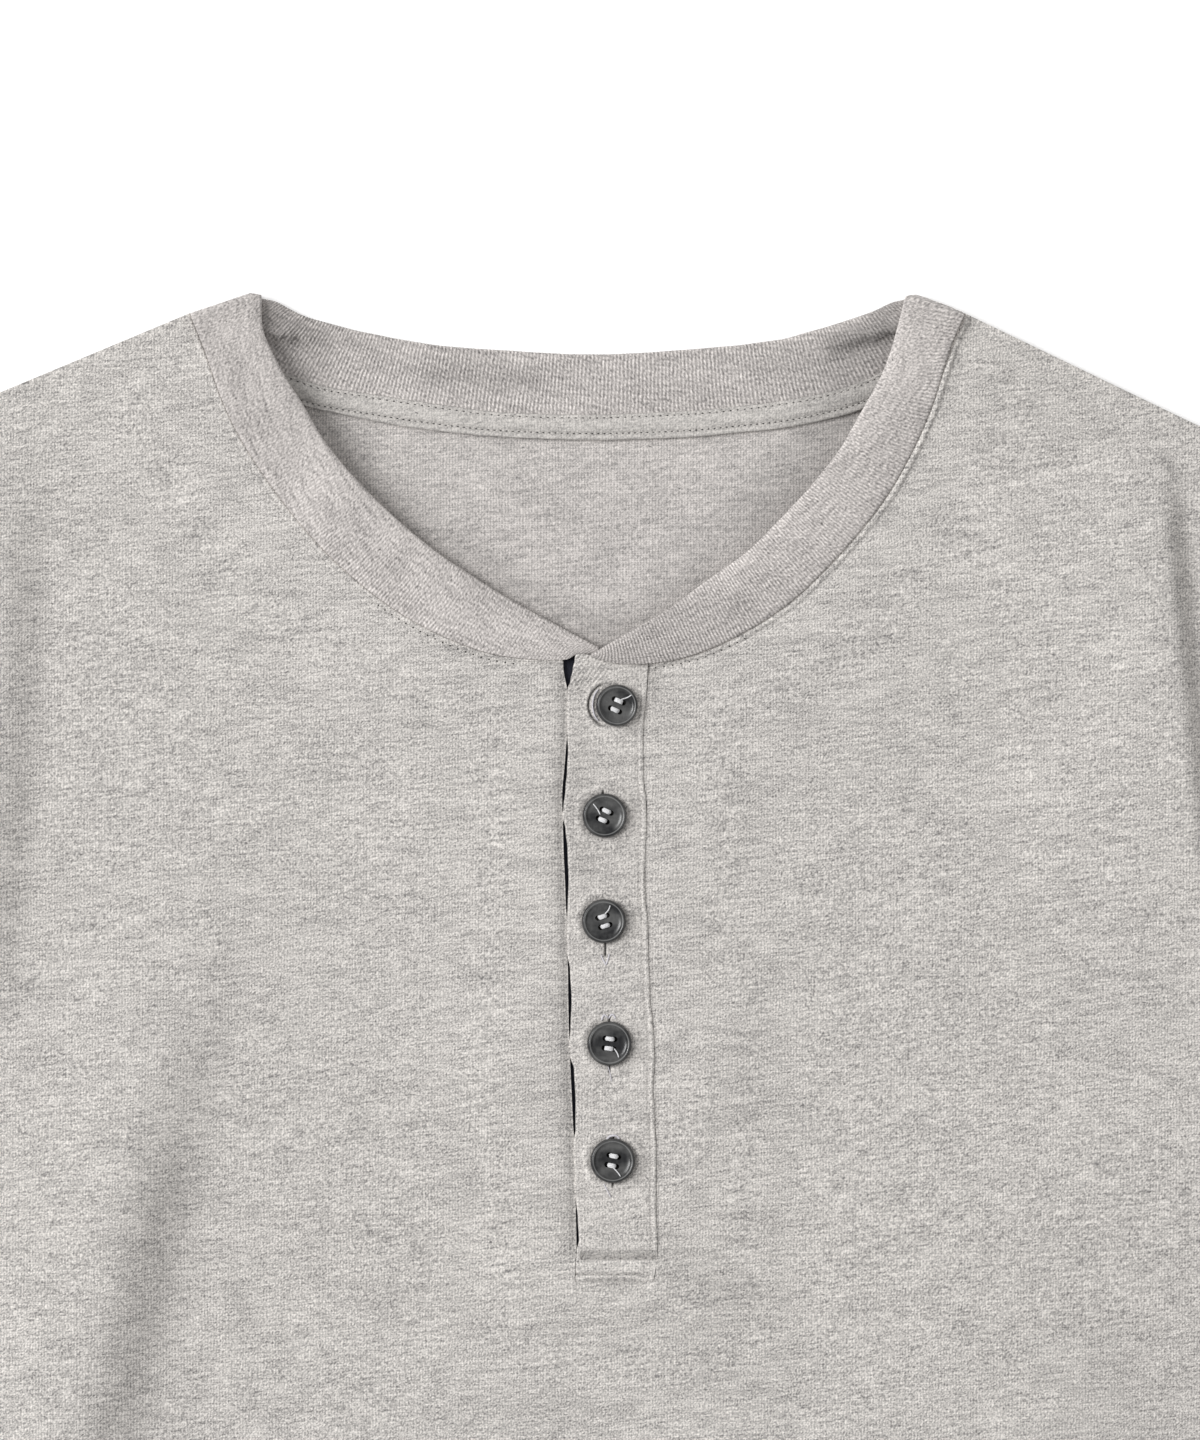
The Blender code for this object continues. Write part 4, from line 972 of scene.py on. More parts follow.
def frontHalf(shape, side):
    sign = sides[side]["sign"]
    inner, outer = rowEnds(side)
    steps, foldSteps, outerSteps = [frontCloth[label] for label in ("edgeSteps", "foldSteps", "outerSteps")]
    lines = []
    for start, end in zip(inner, outer):
        length = (end - start).length
        # columns lie closer beside the trim, over the long fold and at the outside
        fold = sides[side]["foldX"] + 0.07 * min(max((start[1] + end[1]) / 2 - 75, 0), 200) - sign * start[0]
        fold *= length / abs(end[0] - start[0])
        places = list(steps) + spread(steps[-1], fold + foldSteps[0], frontCloth["innerColumns"])
        places += [fold + step for step in foldSteps]
        places += spread(places[-1], length - outerSteps[0], frontCloth["outerColumns"])
        lines.append(sorted(places + [length - step for step in outerSteps]))
    slope = (outer[0][1] - inner[0][1]) / abs(outer[0][0] - inner[0][0])
    columns = len(lines[0]) - 1

    def cornerAt(i, j):
        # a corner's place, its distances from the trim and the outside, and the drop where its row starts
        start, end, distance = inner[j], outer[j], lines[j][i if side == "left" else columns - i]
        length = (end - start).length
        return start.lerp(end, distance / length), distance, length - distance, start[1]

    def place(i, j):
        (x, drop), distance, fromOutside, rowDrop = cornerAt(i, j)
        fromShoulder = drop - (inner[0][1] + slope * (abs(x) - abs(inner[0][0])))
        top = frontTop(x, drop, distance, fromShoulder, fromOutside)
        top += trimEdge(side, distance, rowDrop) * fade(rowDrop - shirt["placketEnd"], 5)
        return onShirt(x, drop, top - 0.25 * fade(fromShoulder, 1.2))

    def shadeAt(i, j):
        (x, drop), distance, _, rowDrop = cornerAt(i, j)
        own = trimShade(side, distance, rowDrop) if rowDrop < 262.5 else 0.0
        return 1 - (1 - own) * creaseLight(frontCloth["shades"], x, drop)

    addGrid(shape, columns, len(inner) - 1, place, shadeAt)
    return inner


def buildFront():
    shape = bmesh.new()
    inners = {side: frontHalf(shape, side) for side in sides}
    first = frontCloth["neckRows"] + frontCloth["placketRows"]
    right, left = inners["right"][first:], inners["left"][first:]
    columns = 8

    def bridge(i, j):
        x, drop = right[j].lerp(left[j], i / columns)
        return onShirt(x, drop, frontTop(x, drop, 0, 99, 99) - (0.14 if j == 0 and 0 < i < columns else 0.0))

    addGrid(shape, columns, len(right) - 1, bridge, lambda i, j: 0.0)
    bmesh.ops.remove_doubles(shape, verts=shape.verts, dist=0.00002)
    surface = surfaceOf(shape)
    piece = addPiece("front_cloth", shape, frontJersey, ["front"])
    addWall(piece, 1.0)
    return piece, surface


frontPiece, frontSurface = buildFront()
print("front made:", len(frontPiece.data.polygons), "faces")

# the tape over the seam of the back neck
neckTape = {
    "reach": 94.0, "rings": 300,
    # x and drop of the lower edge
    "lower": (
        (-94.0, 21.6), (-86.0, 26.4), (-75.3, 30.9), (-65.3, 33.2), (-50.8, 36.1), (-35.4, 38.2), (-22.1, 39.4),
        (1.9, 40.2), (26.5, 39.6), (42.9, 38.2), (54.8, 36.9), (65.6, 34.8), (75.6, 32.0), (86.0, 26.6),
        (94.0, 21.6),
    ),
    # section: share across the tape, height and painted shade; it puffs up between its two rows of stitches
    "section": (
        (-0.10, 2.10, 0.0), (-0.05, 2.36, 0.0), (0.0, 2.38, 0.0), (0.05, 2.14, 0.06), (0.11, 2.44, 0.0),
        (0.25, 2.62, 0.0), (0.45, 2.72, 0.0), (0.60, 2.62, 0.02), (0.67, 2.42, 0.10), (0.73, 2.12, 0.17),
        (0.79, 2.36, 0.10), (0.88, 2.64, -0.01), (0.955, 2.62, 0.04), (1.0, 2.25, 0.12), (0.995, 1.45, 0.3),
        (0.5, 1.4, 0.0), (0.06, 1.4, 0.0),
    ),
    # rows of stitches: across at the left end, across from x -50 on, and pitch
    "stitches": ((0.06, 0.05, 1.9), (0.80, 0.72, 1.65)),
}
backCloth = {"neckColumns": 96, "shoulderColumns": 24, "rows": 120, "top": 1.2}


def buildBack():
    # seen through the neck and from below
    edges, shoulders = {side: outerEdge(side) for side in sides}, {}
    count = backCloth["shoulderColumns"]
    for side, edge in edges.items():
        corner = Vector(sides[side]["neckSeam"]) + Vector((sides[side]["sign"] * 0.3, 0))
        tip = Vector(edge[0])
        shoulders[side] = [tip.lerp(corner, k / count) + Vector((0, 0.4)) for k in range(count + 1)]
    top = shoulders["right"] + [backPoint("backSeam", share) + Vector((0, 0.2))
                                for share in spread(-1, 1, backCloth["neckColumns"])] + shoulders["left"][::-1]
    columns, rows = len(top) - 1, backCloth["rows"]
    downs = [(k / rows) ** 1.5 for k in range(rows + 1)]      # rows lie closer near the neck
    left, right = [[pointAlong(edges[side], down) for down in downs] for side in ("right", "left")]

    def place(i, j):
        across, down = i / columns, downs[j]
        x, drop = (top[i].lerp(left[-1].lerp(right[-1], across), down)
                   + (left[j] - left[0].lerp(left[-1], down)) * (1 - across)
                   + (right[j] - right[0].lerp(right[-1], down)) * across)
        inside = ease((100 - abs(x)) / 30) * ease((140 - drop) / 40)
        inside *= ease((drop - heightAt(neckTape["lower"], x) - 0.3) / 6)
        wave = 0.35 + 0.35 * ripple(x, drop, 34, 2.0)
        return onShirt(x, drop, backCloth["top"] + inside * wave * ease((j - 1) / 5))

    shape = gridShape(columns, rows, place)
    setShade(shape, neckShadeAt)
    piece = addPiece("back_cloth", shape, insideJersey, ["back"])
    addWall(piece, 1.1)
    return piece


backPiece = buildBack()
print("back made:", len(backPiece.data.polygons), "faces")

# Sleeves. Their folds are place along, place across, reach along, reach across (shares), and height.
sleeveCloth = {
    "length": 640.0, "angle": 48.0, "hemWidth": 98.0, "spread": 90.0, "height": 3.0, "startDrop": 62.0,
    "rows": 150, "topColumns": 34, "lowColumns": 12, "gap": 0.25,
    "folds": (
        (0.10, 0.62, 0.05, 0.42, 3.0), (0.20, 0.30, 0.05, 0.34, 2.4), (0.44, 0.66, 0.045, 0.40, 3.2),
        (0.53, 0.42, 0.045, 0.44, 2.8), (0.62, 0.70, 0.045, 0.34, 2.6), (0.84, 0.40, 0.05, 0.38, 2.0),
        (0.15, 0.55, 0.018, 0.30, 0.9), (0.30, 0.48, 0.022, 0.36, 1.0), (0.49, 0.70, 0.014, 0.26, 0.9),
        (0.575, 0.50, 0.016, 0.34, 0.9), (0.71, 0.46, 0.020, 0.32, 0.8), (0.91, 0.60, 0.014, 0.30, 0.6),
    ),
}


def buildSleeve(side):
    sign = sides[side]["sign"]
    angle, height = math.radians(sleeveCloth["angle"]), sleeveCloth["height"]
    down, inward = Vector((math.cos(angle), math.sin(angle))), Vector((-math.sin(angle), math.cos(angle)))
    hemStart = Vector((shirt["shoulderHalf"], sleeveCloth["startDrop"])) + down * sleeveCloth["length"]
    hemEnd = hemStart + inward * sleeveCloth["hemWidth"]
    steps = 200
    arm = smoothCurve([(abs(x), drop) for x, drop in armholeCurve(side)], steps + 1)
    outward = []
    for k in range(steps + 1):
        ahead = arm[min(k + 1, steps)] - arm[max(k - 1, 0)]
        outward.append(Vector((ahead[1], -ahead[0])).normalized())
    topCount, lowCount, rows = sleeveCloth["topColumns"], sleeveCloth["lowColumns"], sleeveCloth["rows"]
    # shares across: finer near the two folded edges
    shares = [0.5 - 0.5 * math.cos(math.pi * k / topCount) for k in range(topCount + 1)]
    shares += [0.5 + 0.5 * math.cos(math.pi * k / lowCount) for k in range(1, lowCount)]
    around = len(shares)

    def place(i, j):
        i %= around
        s, t = j / rows, shares[i]
        k = round(t * steps)
        width = (1 - s) * (arm[-1] - arm[0]).length + s * sleeveCloth["hemWidth"]
        bulge = sleeveCloth["spread"] * ease(t / 0.8) * s * (1 - s) ** 2
        start = arm[k] + outward[k] * sleeveCloth["gap"]
        x, drop = start.lerp(hemStart.lerp(hemEnd, t), s) + outward[k] * bulge
        bend = math.sqrt(max(0.0, 1 - (1 - min(min(t, 1 - t) * width / 1.5, 1.0)) ** 2))
        if i > topCount:
            return onShirt(sign * x, drop, height * 0.5 * (1 - bend))
        z = height * (0.5 + 0.5 * bend)
        for along, aside, reachAlong, reachAside, rise in sleeveCloth["folds"]:
            lean = (t - aside) * 0.03
            away = math.hypot((s - along - lean) / reachAlong, (t - aside) / reachAside)
            if away < 1:
                z += rise * math.cos(math.pi / 2 * away) ** 2
        # its hem and its armhole seam show at the ends
        z += 0.25 * ripple(x * sign, drop, 40, 8.0) * bend
        z += 0.15 * (ease((s - 0.962) / 0.004) - ease((s - 0.995) / 0.005)) * bend
        z -= 0.4 * fade(s, 0.004) * bend
        return onShirt(sign * x, drop, z)

    shape = gridShape(around, rows, place)
    bmesh.ops.remove_doubles(shape, verts=shape.verts, dist=0.00001)
    bmesh.ops.recalc_face_normals(shape, faces=shape.faces)
    surface = surfaceOf(shape)
    piece = addPiece("sleeve_cloth_" + side, shape, sleeveJersey[side], ["sleeve_" + side])
    addWall(piece, 0.7)
    return piece, surface, hemStart, hemEnd, down


sleevePieces = {side: buildSleeve(side) for side in sides}
print("sleeves made")


def tapePoint(share, across):
    # shares run from -1 to 1 along the tape, and from 0 to 1 across it
    x = share * neckTape["reach"]
    upper, lower = heightAt(neckband["backSeam"], x) + 0.2, heightAt(neckTape["lower"], x)
    return Vector((x, upper + (lower - upper) * across))


def tapeStitch(row, share):
    # how far across the tape a row of its stitches runs
    first, rest, _ = neckTape["stitches"][row]
    return first + (rest - first) * ease((share * neckTape["reach"] + 70) / 20)


def buildTape():
    section, rings = neckTape["section"], neckTape["rings"]
    around = len(section)

    def place(i, j):
        across, z, _ = section[j % around]
        share = 2 * i / rings - 1
        x, drop = tapePoint(share, across)
        if 0.5 < across < 0.9 and z > 1.6:
            x, drop = tapePoint(share, across + tapeStitch(1, share) - 0.73)
        if 0.1 < across < 0.97 and z > 1.6:
            z += 0.10 * noise.noise(Vector((x / 2.2, across * 3, 1)))
        return onShirt(x, drop + 0.12 * noise.noise(Vector((x / 9, 0, 3))), z)

    shape = gridShape(rings, around, place)
    setShade(shape, neckShadeAt)
    layer = shape.verts.layers.float["shade"]
    for corner in shape.verts:
        own = section[(around - corner.index // (rings + 1)) % around][2]
        corner[layer] = 1 - (1 - corner[layer]) * (1 - own)
    seal(shape)
    surface = surfaceOf(shape)
    return addPiece("neck_tape_cloth", shape, tapeJersey, ["neck_tape"]), surface


tapePiece, tapeSurface = buildTape()
print("tape made")

# Placket: the top strip with its buttonholes, and the dark strip under it.
placket = {
    "stripFloor": 3.0, "cloth": 1.2, "rows": 450, "endRows": 90, "end": 257.5, "columns": 108, "bottom": 267.3,
    "underLeft": -9.5, "underRight": 14.5, "underTop": 98.7, "underBottom": 262.0, "underFloor": 1.5,
    "underRows": 90,
    "edgeStitch": 1.25,       # from the strip's right edge
    # lines sewn across the strip near its end: x of both ends, drop, depth and reach above it
    "crossLines": ((-0.5, 20.6, 261.1, 0.85, 1.7), (-2.4, 16.5, 265.4, 0.4, 0.6),
                   (0.8, 15.7, 266.9, 0.35, 0.5)),
    # painted shade of each, and painted light where it is negative: distance above it, and how deep
    "crossShade": (
        ((-0.75, -0.04), (-0.45, 0.10), (-0.05, 0.44), (0.35, 0.28), (1.2, 0.20), (2.0, 0.14), (2.8, 0.06),
         (3.6, 0.0)),
        ((-0.5, -0.03), (-0.05, 0.36), (0.35, 0.12), (0.9, 0.0)),
        ((-0.5, 0.0), (-0.05, 0.40), (0.35, 0.14), (0.8, -0.05), (1.4, 0.0)),
    ),
    # a soft painted shade on its upper left side
    "shades": ((-1.2, 108, -0.4, 156, 3.8, 0.11),),
    # and painted shade beside its right seam, and painted light where it is negative: distance from it, and how
    # deep
    "seamShade": ((0.0, 0.06), (0.3, -0.14), (0.75, -0.12), (1.1, 0.0), (1.5, 0.14), (2.0, 0.04), (2.6, 0.02),
                  (3.2, 0.0)),
    # x, drop and height of the strip's top edge, where it meets the neckband
    "topEdge": ((-2.0, 97.9, 5.1), (2.6, 98.2, 5.5), (5.0, 99.3, 5.6), (10.3, 100.5, 5.3), (19.7, 100.4, 4.5)),
    "topLeft": -1.5, "topWidth": 19.5, "topReach": 5.5,
}
# each button: x, drop, radius, tilt about the shirt's length, turn of its holes, where its thread's tail
# starts and ends, and its buttonhole's x and the drops of its top and bottom
buttonRows = (
    {"x": 9.3, "drop": 111.9, "radius": 5.65, "tilt": 5.0, "turn": -23,
     "from": (1.1, 1.6), "tail": (4.0, 2.9), "hole": (9.3, 106.6, 117.4)},
    {"x": 6.1, "drop": 141.6, "radius": 5.95, "tilt": 0.0, "turn": -24,
     "from": (-1.2, 0.3), "tail": (-3.1, 3.2), "hole": (5.7, 134.9, 147.0)},
    {"x": 5.9, "drop": 170.1, "radius": 5.95, "tilt": 0.0, "turn": 17,
     "from": (0.3, 2.0), "tail": (1.7, 4.3), "hole": (6.3, 164.5, 179.6)},
    {"x": 7.4, "drop": 203.1, "radius": 6.0, "tilt": 0.0, "turn": -6,
     "from": (1.3, -1.3), "tail": (2.5, -3.7), "hole": (7.4, 195.5, 211.0)},
    {"x": 8.3, "drop": 234.7, "radius": 6.05, "tilt": 0.0, "turn": -12,
     "from": (0.1, -1.8), "tail": (2.1, -4.2), "hole": (8.4, 228.2, 241.8)},
)


def stripEdges(drop):
    return between(stripLeft, drop, 2), between(stripRight, drop, 1)


def seamShown(drop):
    # the strip's seam is fainter at its top, and fades out below the line across its end
    return (0.30 + 0.70 * ease((drop - 105) / 13)) * (1 - 0.85 * ease((drop - 256) / 5))


def lineShown(x, x0, x1):
    # 1 along a line sewn across the strip, 0 past its ends
    return ease((x - x0 + 0.5) / 1.5) * ease((x1 + 0.5 - x) / 1.5)


def holeDipAndShade(x, drop):
    # 1 in an open buttonhole, in the ring that the first button has pressed into the cloth and under each
    # button's holes, 0 away from them
    # the cloth sinks there, and the strip's colour gets painted shade there
    first = buttonRows[0]
    aside, down = x - (first["x"] - 1.55), drop - (first["drop"] - 0.1)
    share = bell(math.hypot(aside, down) - 6.0, 0.30) * ease((-aside - 0.6) / 2.6)
    for row in buttonRows:
        holeX, top, bottom = row["hole"]
        if top - 1 < drop < bottom + 1:
            span = ease((drop - top + 0.4) / 0.8) * ease((bottom - drop + 0.4) / 0.8)
            share = max(share, span * bell(x - holeX - 0.1 * ripple(0, drop, 4), 0.26))
        share = max(share, 1 - ease((math.hypot(x - row["x"], drop - row["drop"]) - 2.2) / 0.8))
    return share


def stripTop(x, drop, fromLeft, fromRight):
    z = placket["stripFloor"] + placket["cloth"]
    z -= 0.75 * (1 - math.sqrt(max(0.0, 1 - (1 - min(fromLeft / 0.7, 1.0)) ** 2)))     # folded edge
    # seam, its ridge, and the dip along its stitches
    unevenReliefAndShade = (0.75 + 0.4 * ripple(0, drop, 12, 6.0)) * seamShown(drop)
    z -= 0.28 * unevenReliefAndShade * fade(fromRight, 0.34)
    z += 0.24 * unevenReliefAndShade * bell(fromRight - 0.8, 0.42) - 0.16 * unevenReliefAndShade * bell(fromRight - 1.55, 0.4)
    topDrop, topHeight = between(placket["topEdge"], x, 1), between(placket["topEdge"], x, 2)
    z += (topHeight - z) * fade(drop - topDrop, placket["topReach"])
    z -= 0.05 * fade(drop - topDrop, 0.5) * ease((x - 1.0) / 3.0)
    inner = ease(fromLeft / 4) * ease((fromRight - 1.0) / 4)
    z += (0.16 * ripple(x, drop, 9, 11.0) + 0.22 * ripple(x, drop, 26, 12.0)) * inner
    for row in buttonRows:
        # the cloth rises round each button and sinks under it
        away = math.hypot(x - row["x"], drop - row["drop"]) - row["radius"]
        z += 0.55 * bell(away - 1.3, 1.5) * inner - 0.2 * fade(away + 2.5, 2.5)
    for x0, x1, line, depth, half in placket["crossLines"]:
        dip = depth * bell(drop - line, half if drop < line else 0.42)
        z -= dip * lineShown(x, x0, x1) * (0.9 + 0.12 * ripple(x, 0, 5, 9.0))
    z -= 0.9 * holeDipAndShade(x, drop)
    return z - 0.14 * fade(placket["bottom"] - drop, 0.4)


def stripShade(x, drop):
    # painted shade beside the strip's seam and along the lines sewn across its end, and painted light where its
    # tables are negative
    fromRight = stripEdges(drop)[1] - x
    shade = 0.0
    if fromRight < placket["seamShade"][-1][0]:
        unevenReliefAndShade = (0.8 + 0.5 * ripple(0, drop, 12, 6.0)) * seamShown(drop)
        shade = unevenReliefAndShade * between(placket["seamShade"], fromRight, 1)
    for (x0, x1, line, _, _), rows in zip(placket["crossLines"], placket["crossShade"]):
        if -1.5 < line - drop < 4.2 and x0 - 1 < x < x1 + 1:
            unevenReliefAndShade = 1.0 + 0.08 * ripple(x, 0, 5, 9.0)
            shade += between(rows, line - drop, 1) * lineShown(x, x0, x1) * unevenReliefAndShade
    return 1 - (1 - shade) * creaseLight(placket["shades"], x, drop)


def buildStrip():
    columns, end, bottom = placket["columns"], placket["end"], placket["bottom"]
    # shares across, over the top and back along the underside
    shares = [i / columns for i in range(columns + 1)] + [0.99, 0.67, 0.33]
    around, upper = len(shares), placket["rows"] - placket["endRows"]

    def place(i, j):
        i %= around
        start = between(placket["topEdge"], placket["topLeft"] + placket["topWidth"] * shares[i], 1)
        # rows lie closer near its end
        drop = start + (end - start) * j / upper
        if j >= upper:
            drop = end + (bottom - end) * (j - upper) / placket["endRows"]
        left, right = stripEdges(drop)
        x = left + (right - left) * shares[i]
        if i <= columns:
            return onShirt(x, drop, stripTop(x, drop, x - left, right - x))
        rise = (between(placket["topEdge"], x, 2) - 4.2) * fade(drop - start, placket["topReach"])
        return onShirt(x, drop, placket["stripFloor"] + rise + (0.1 if i == columns + 1 else 0.0))

    shape = gridShape(around, placket["rows"], place)
    seal(shape)
    paintedHoleShade = shape.verts.layers.float.new("paintedHoleShade")
    for corner in shape.verts:
        corner[paintedHoleShade] = holeDipAndShade(corner.co.x / mm, shirt["centreDrop"] - corner.co.y / mm)
    setShade(shape, stripShade)
    surface = surfaceOf(shape)
    return addPiece("placket_top_strip", shape, stripFinish, ["placket_top"]), surface


def stripMaterial():
    # jersey, and in its top left corner the end of the rib shows, its ribs running aslant
    finish, tree, shader = newMaterial("placket_jersey")
    calc = partial(maths, tree)
    place = placeInMm(tree)
    changes = {"Streaks": 0.24, "Flecks": 0.36, "Grain": 0.48, "Clouds": 0.08}
    yarn = addGroup(tree, heatherYarn, Place=place, **dict(jerseyYarn, **changes)).outputs
    loops = addGroup(tree, knitLoops, Place=place, Wale=0.795, Course=0.60, Wander=0.2).outputs[0]
    aslant = addNode(tree, "SeparateXYZ", {0: stretched(tree, place, (1, 1, 1), math.radians(38))}).outputs[0]
    rib = calc("PINGPONG", calc("DIVIDE", aslant, 1.05), 0.5)
    ribCorner = onShirt(0.5, 100.5, 4.2) / mm
    away = addNode(tree, "VectorMath", {0: place, 1: ribCorner}, operation="DISTANCE").outputs["Value"]
    reach = {"From Min": 5.0, "From Max": 9.0, "To Min": 1.0, "To Max": 0.0, "Value": away}
    ribbed = addNode(tree, "MapRange", reach, interpolation_type="SMOOTHSTEP").outputs[0]
    # the knit's loops and the rib's grooves paint shade on the yarn's colour
    knit = calc("MULTIPLY", calc("MULTIPLY_ADD", loops, 0.30, 0.83), calc("SUBTRACT", 1.0, ribbed))
    shade = calc("ADD", calc("MULTIPLY", calc("MULTIPLY_ADD", rib, 1.05, 0.68), ribbed), knit)
    # painted shade in the buttonholes, in the first button's ring and under the buttons' holes
    leftByHoleShade = calc("SUBTRACT", 1.0, calc("MULTIPLY", attribute(tree, "paintedHoleShade"), 0.88))
    paint(tree, shader, yarn[0], calc("MULTIPLY", shade, leftByHoleShade))
    addBump(tree, shader, calc("MULTIPLY_ADD", yarn["Mix"], 0.5, shade))
    return finish


stripFinish = stripMaterial()
stripPiece, stripSurface = buildStrip()


def buildUnderStrip():
    left, top = placket["underLeft"], placket["underTop"]
    width, length = placket["underRight"] - left, placket["underBottom"] - top
    section = ((0.0, 0.35), (0.012, 0.85), (0.04, 1.0), (0.2, 1.0), (0.4, 1.0), (0.6, 1.0), (0.8, 1.0),
               (0.96, 1.0), (0.988, 0.85), (1.0, 0.35), (0.97, 0.0), (0.5, 0.0), (0.03, 0.0))
    around = len(section)

    def place(i, j):
        share, rise = section[i % around]
        drop = top + length * j / placket["underRows"]
        wave = 0.08 * ripple(share * 24, drop, 8, 20.0) if rise > 0.9 else 0.0
        return onShirt(left + width * share, drop, placket["underFloor"] + placket["cloth"] * rise + wave)

    shape = gridShape(around, placket["underRows"], place)
    seal(shape)
    return addPiece("placket_under_strip", shape, navyFinish, ["placket_under"])


underPiece = buildUnderStrip()
print("placket made")


buttonForm = {
    "steps": 72, "holeRadius": 0.74, "holeX": 1.30, "holeY": 1.32, "seat": 4.25, "holeSteps": 20,
    # radius (share) and height of the turned section, from the face's middle to the underside's middle
    "section": (
        (0.0, 1.45), (0.30, 1.46), (0.60, 1.52), (0.74, 1.66), (0.80, 1.92), (0.835, 2.18), (0.865, 2.34),
        (0.89, 2.38), (0.92, 2.33), (0.955, 2.12), (0.985, 1.75), (1.0, 1.30), (0.985, 0.90), (0.93, 0.55),
        (0.80, 0.22), (0.60, 0.04), (0.0, 0.0),
    ),
    "threads": (-0.38, -0.13, 0.13, 0.38),     # of each bar, aside from its middle
    "threadRadius": 0.22, "tailRadius": 0.16,
}


def addTube(shape, points, radius, segments=8):
    # a round strand through points in millimetres, with closed ends
    path = [Vector(point) * mm for point in smoothCurve(points, max(6, len(points) * 4), 3)]
    last = len(path) - 1
    loop = None
    for i, point in enumerate(path):
        ahead = (path[min(i + 1, last)] - path[max(i - 1, 0)]).normalized()
        turn = ahead.to_track_quat("Z", "Y").to_matrix().to_4x4()
        turn.translation = point
        atEnd = i in (0, last)
        ring = bmesh.ops.create_circle(shape, segments=segments, radius=radius * mm * (0.55 if atEnd else 1.0),
                                       matrix=turn, cap_ends=atEnd)["verts"]
        edges = list({edge for corner in ring for edge in corner.link_edges})
        if loop:
            bmesh.ops.bridge_loops(shape, edges=loop + edges)
        loop = edges


def turnedButton(radius):
    shape = bmesh.new()
    # the radius is one millimetre until the section is turned
    section = [shape.verts.new((share * mm, 0, z * mm)) for share, z in buttonForm["section"]]
    edges = [shape.edges.new(pair) for pair in zip(section, section[1:])]
    bmesh.ops.spin(shape, geom=section + edges, cent=(0, 0, 0), axis=(0, 0, 1), angle=math.tau,
                   steps=buttonForm["steps"], use_merge=True)
    bmesh.ops.remove_doubles(shape, verts=shape.verts, dist=weld)
    bmesh.ops.recalc_face_normals(shape, faces=shape.faces)
    bmesh.ops.scale(shape, verts=shape.verts, vec=(radius, radius, 1))
    return addObject("button_blank", shape)


def drilledButton(radius, turn):
    blank = turnedButton(radius)
    drill = bmesh.new()
    holeRadius = buttonForm["holeRadius"] * mm
    for dx, dy in ((-1, -1), (-1, 1), (1, -1), (1, 1)):
        tool = bmesh.ops.create_cone(drill, cap_ends=True, segments=buttonForm["holeSteps"], radius1=holeRadius,
                                     radius2=holeRadius, depth=8 * mm)["verts"]
        middle = (dx * buttonForm["holeX"] * mm, dy * buttonForm["holeY"] * mm, 0)
        bmesh.ops.translate(drill, verts=tool, vec=middle)
    bmesh.ops.rotate(drill, verts=drill.verts, cent=(0, 0, 0), matrix=Matrix.Rotation(turn, 3, "Z"))
    tools = addObject("button_drill", drill)
    cut = blank.modifiers.new("holes", "BOOLEAN")
    cut.object, cut.operation, cut.solver = tools, "DIFFERENCE", "EXACT"
    bpy.context.view_layer.update()
    made = bpy.data.meshes.new_from_object(blank.evaluated_get(bpy.context.evaluated_depsgraph_get()))
    for helper in (blank, tools):
        bpy.data.objects.remove(helper)
    return made


def addThreads(strands, row):
    # two bars of thread from hole to hole, and a cut tail
    face = buttonForm["section"][0][1]
    holeX, holeY = buttonForm["holeX"], buttonForm["holeY"]
    for dy in (-1, 1):
        for aside in buttonForm["threads"]:
            rise = 0.60 - abs(aside) * 0.5 + dice.uniform(-0.05, 0.05)
            y, end = dy * holeY + aside, holeX * (0.86 - abs(aside) * 0.35) + dice.uniform(-0.10, 0.06)
            bar = [(-end * 0.95, y * 0.98, face - 1.2), (-end, y, face - 0.1),
                   (-end * 0.55, y + dice.uniform(-0.05, 0.05), face + rise * 0.9),
                   (end * 0.55, y + dice.uniform(-0.05, 0.05), face + rise),
                   (end, y, face - 0.1), (end * 0.95, y * 0.98, face - 1.2)]
            addTube(strands, bar, buttonForm["threadRadius"])
    bmesh.ops.rotate(strands, verts=strands.verts, cent=(0, 0, 0),
                     matrix=Matrix.Rotation(math.radians(row["turn"]), 3, "Z"))
    (x0, y0), (x1, y1) = row["from"], row["tail"]
    addTube(strands, [(x0, y0, face + 0.45), ((x0 + x1) / 2 + 0.25, (y0 + y1) / 2 - 0.1, face + 0.50),
                      (x1, y1, face + 0.75)], buttonForm["tailRadius"])


def buildButtons():
    for number, row in enumerate(buttonRows, 1):
        radius, tilt = row["radius"], math.radians(row["tilt"])
        seat = buttonForm["seat"] + radius * math.sin(tilt)
        button, strands = bmesh.new(), bmesh.new()
        button.from_mesh(drilledButton(radius, math.radians(row["turn"])))
        layer = button.loops.layers.uv.new("face")
        for face in button.faces:
            for loop in face.loops:
                loop[layer].uv = (loop.vert.co.x / radius / mm, loop.vert.co.y / radius / mm)
        addThreads(strands, row)
        bmesh.ops.recalc_face_normals(strands, faces=strands.faces)
        for shape in (button, strands):
            bmesh.ops.rotate(shape, verts=shape.verts, cent=(0, 0, 0), matrix=Matrix.Rotation(tilt, 3, "Y"))
            bmesh.ops.translate(shape, verts=shape.verts, vec=onShirt(row["x"], row["drop"], seat))
        piece = addPiece("button_face_%d" % number, button, buttonFinish, ["button_%d" % number])
        piece.data.set_sharp_from_angle(angle=math.radians(50))
        addPiece("button_thread_%d" % number, strands, whiteThread)


buildButtons()


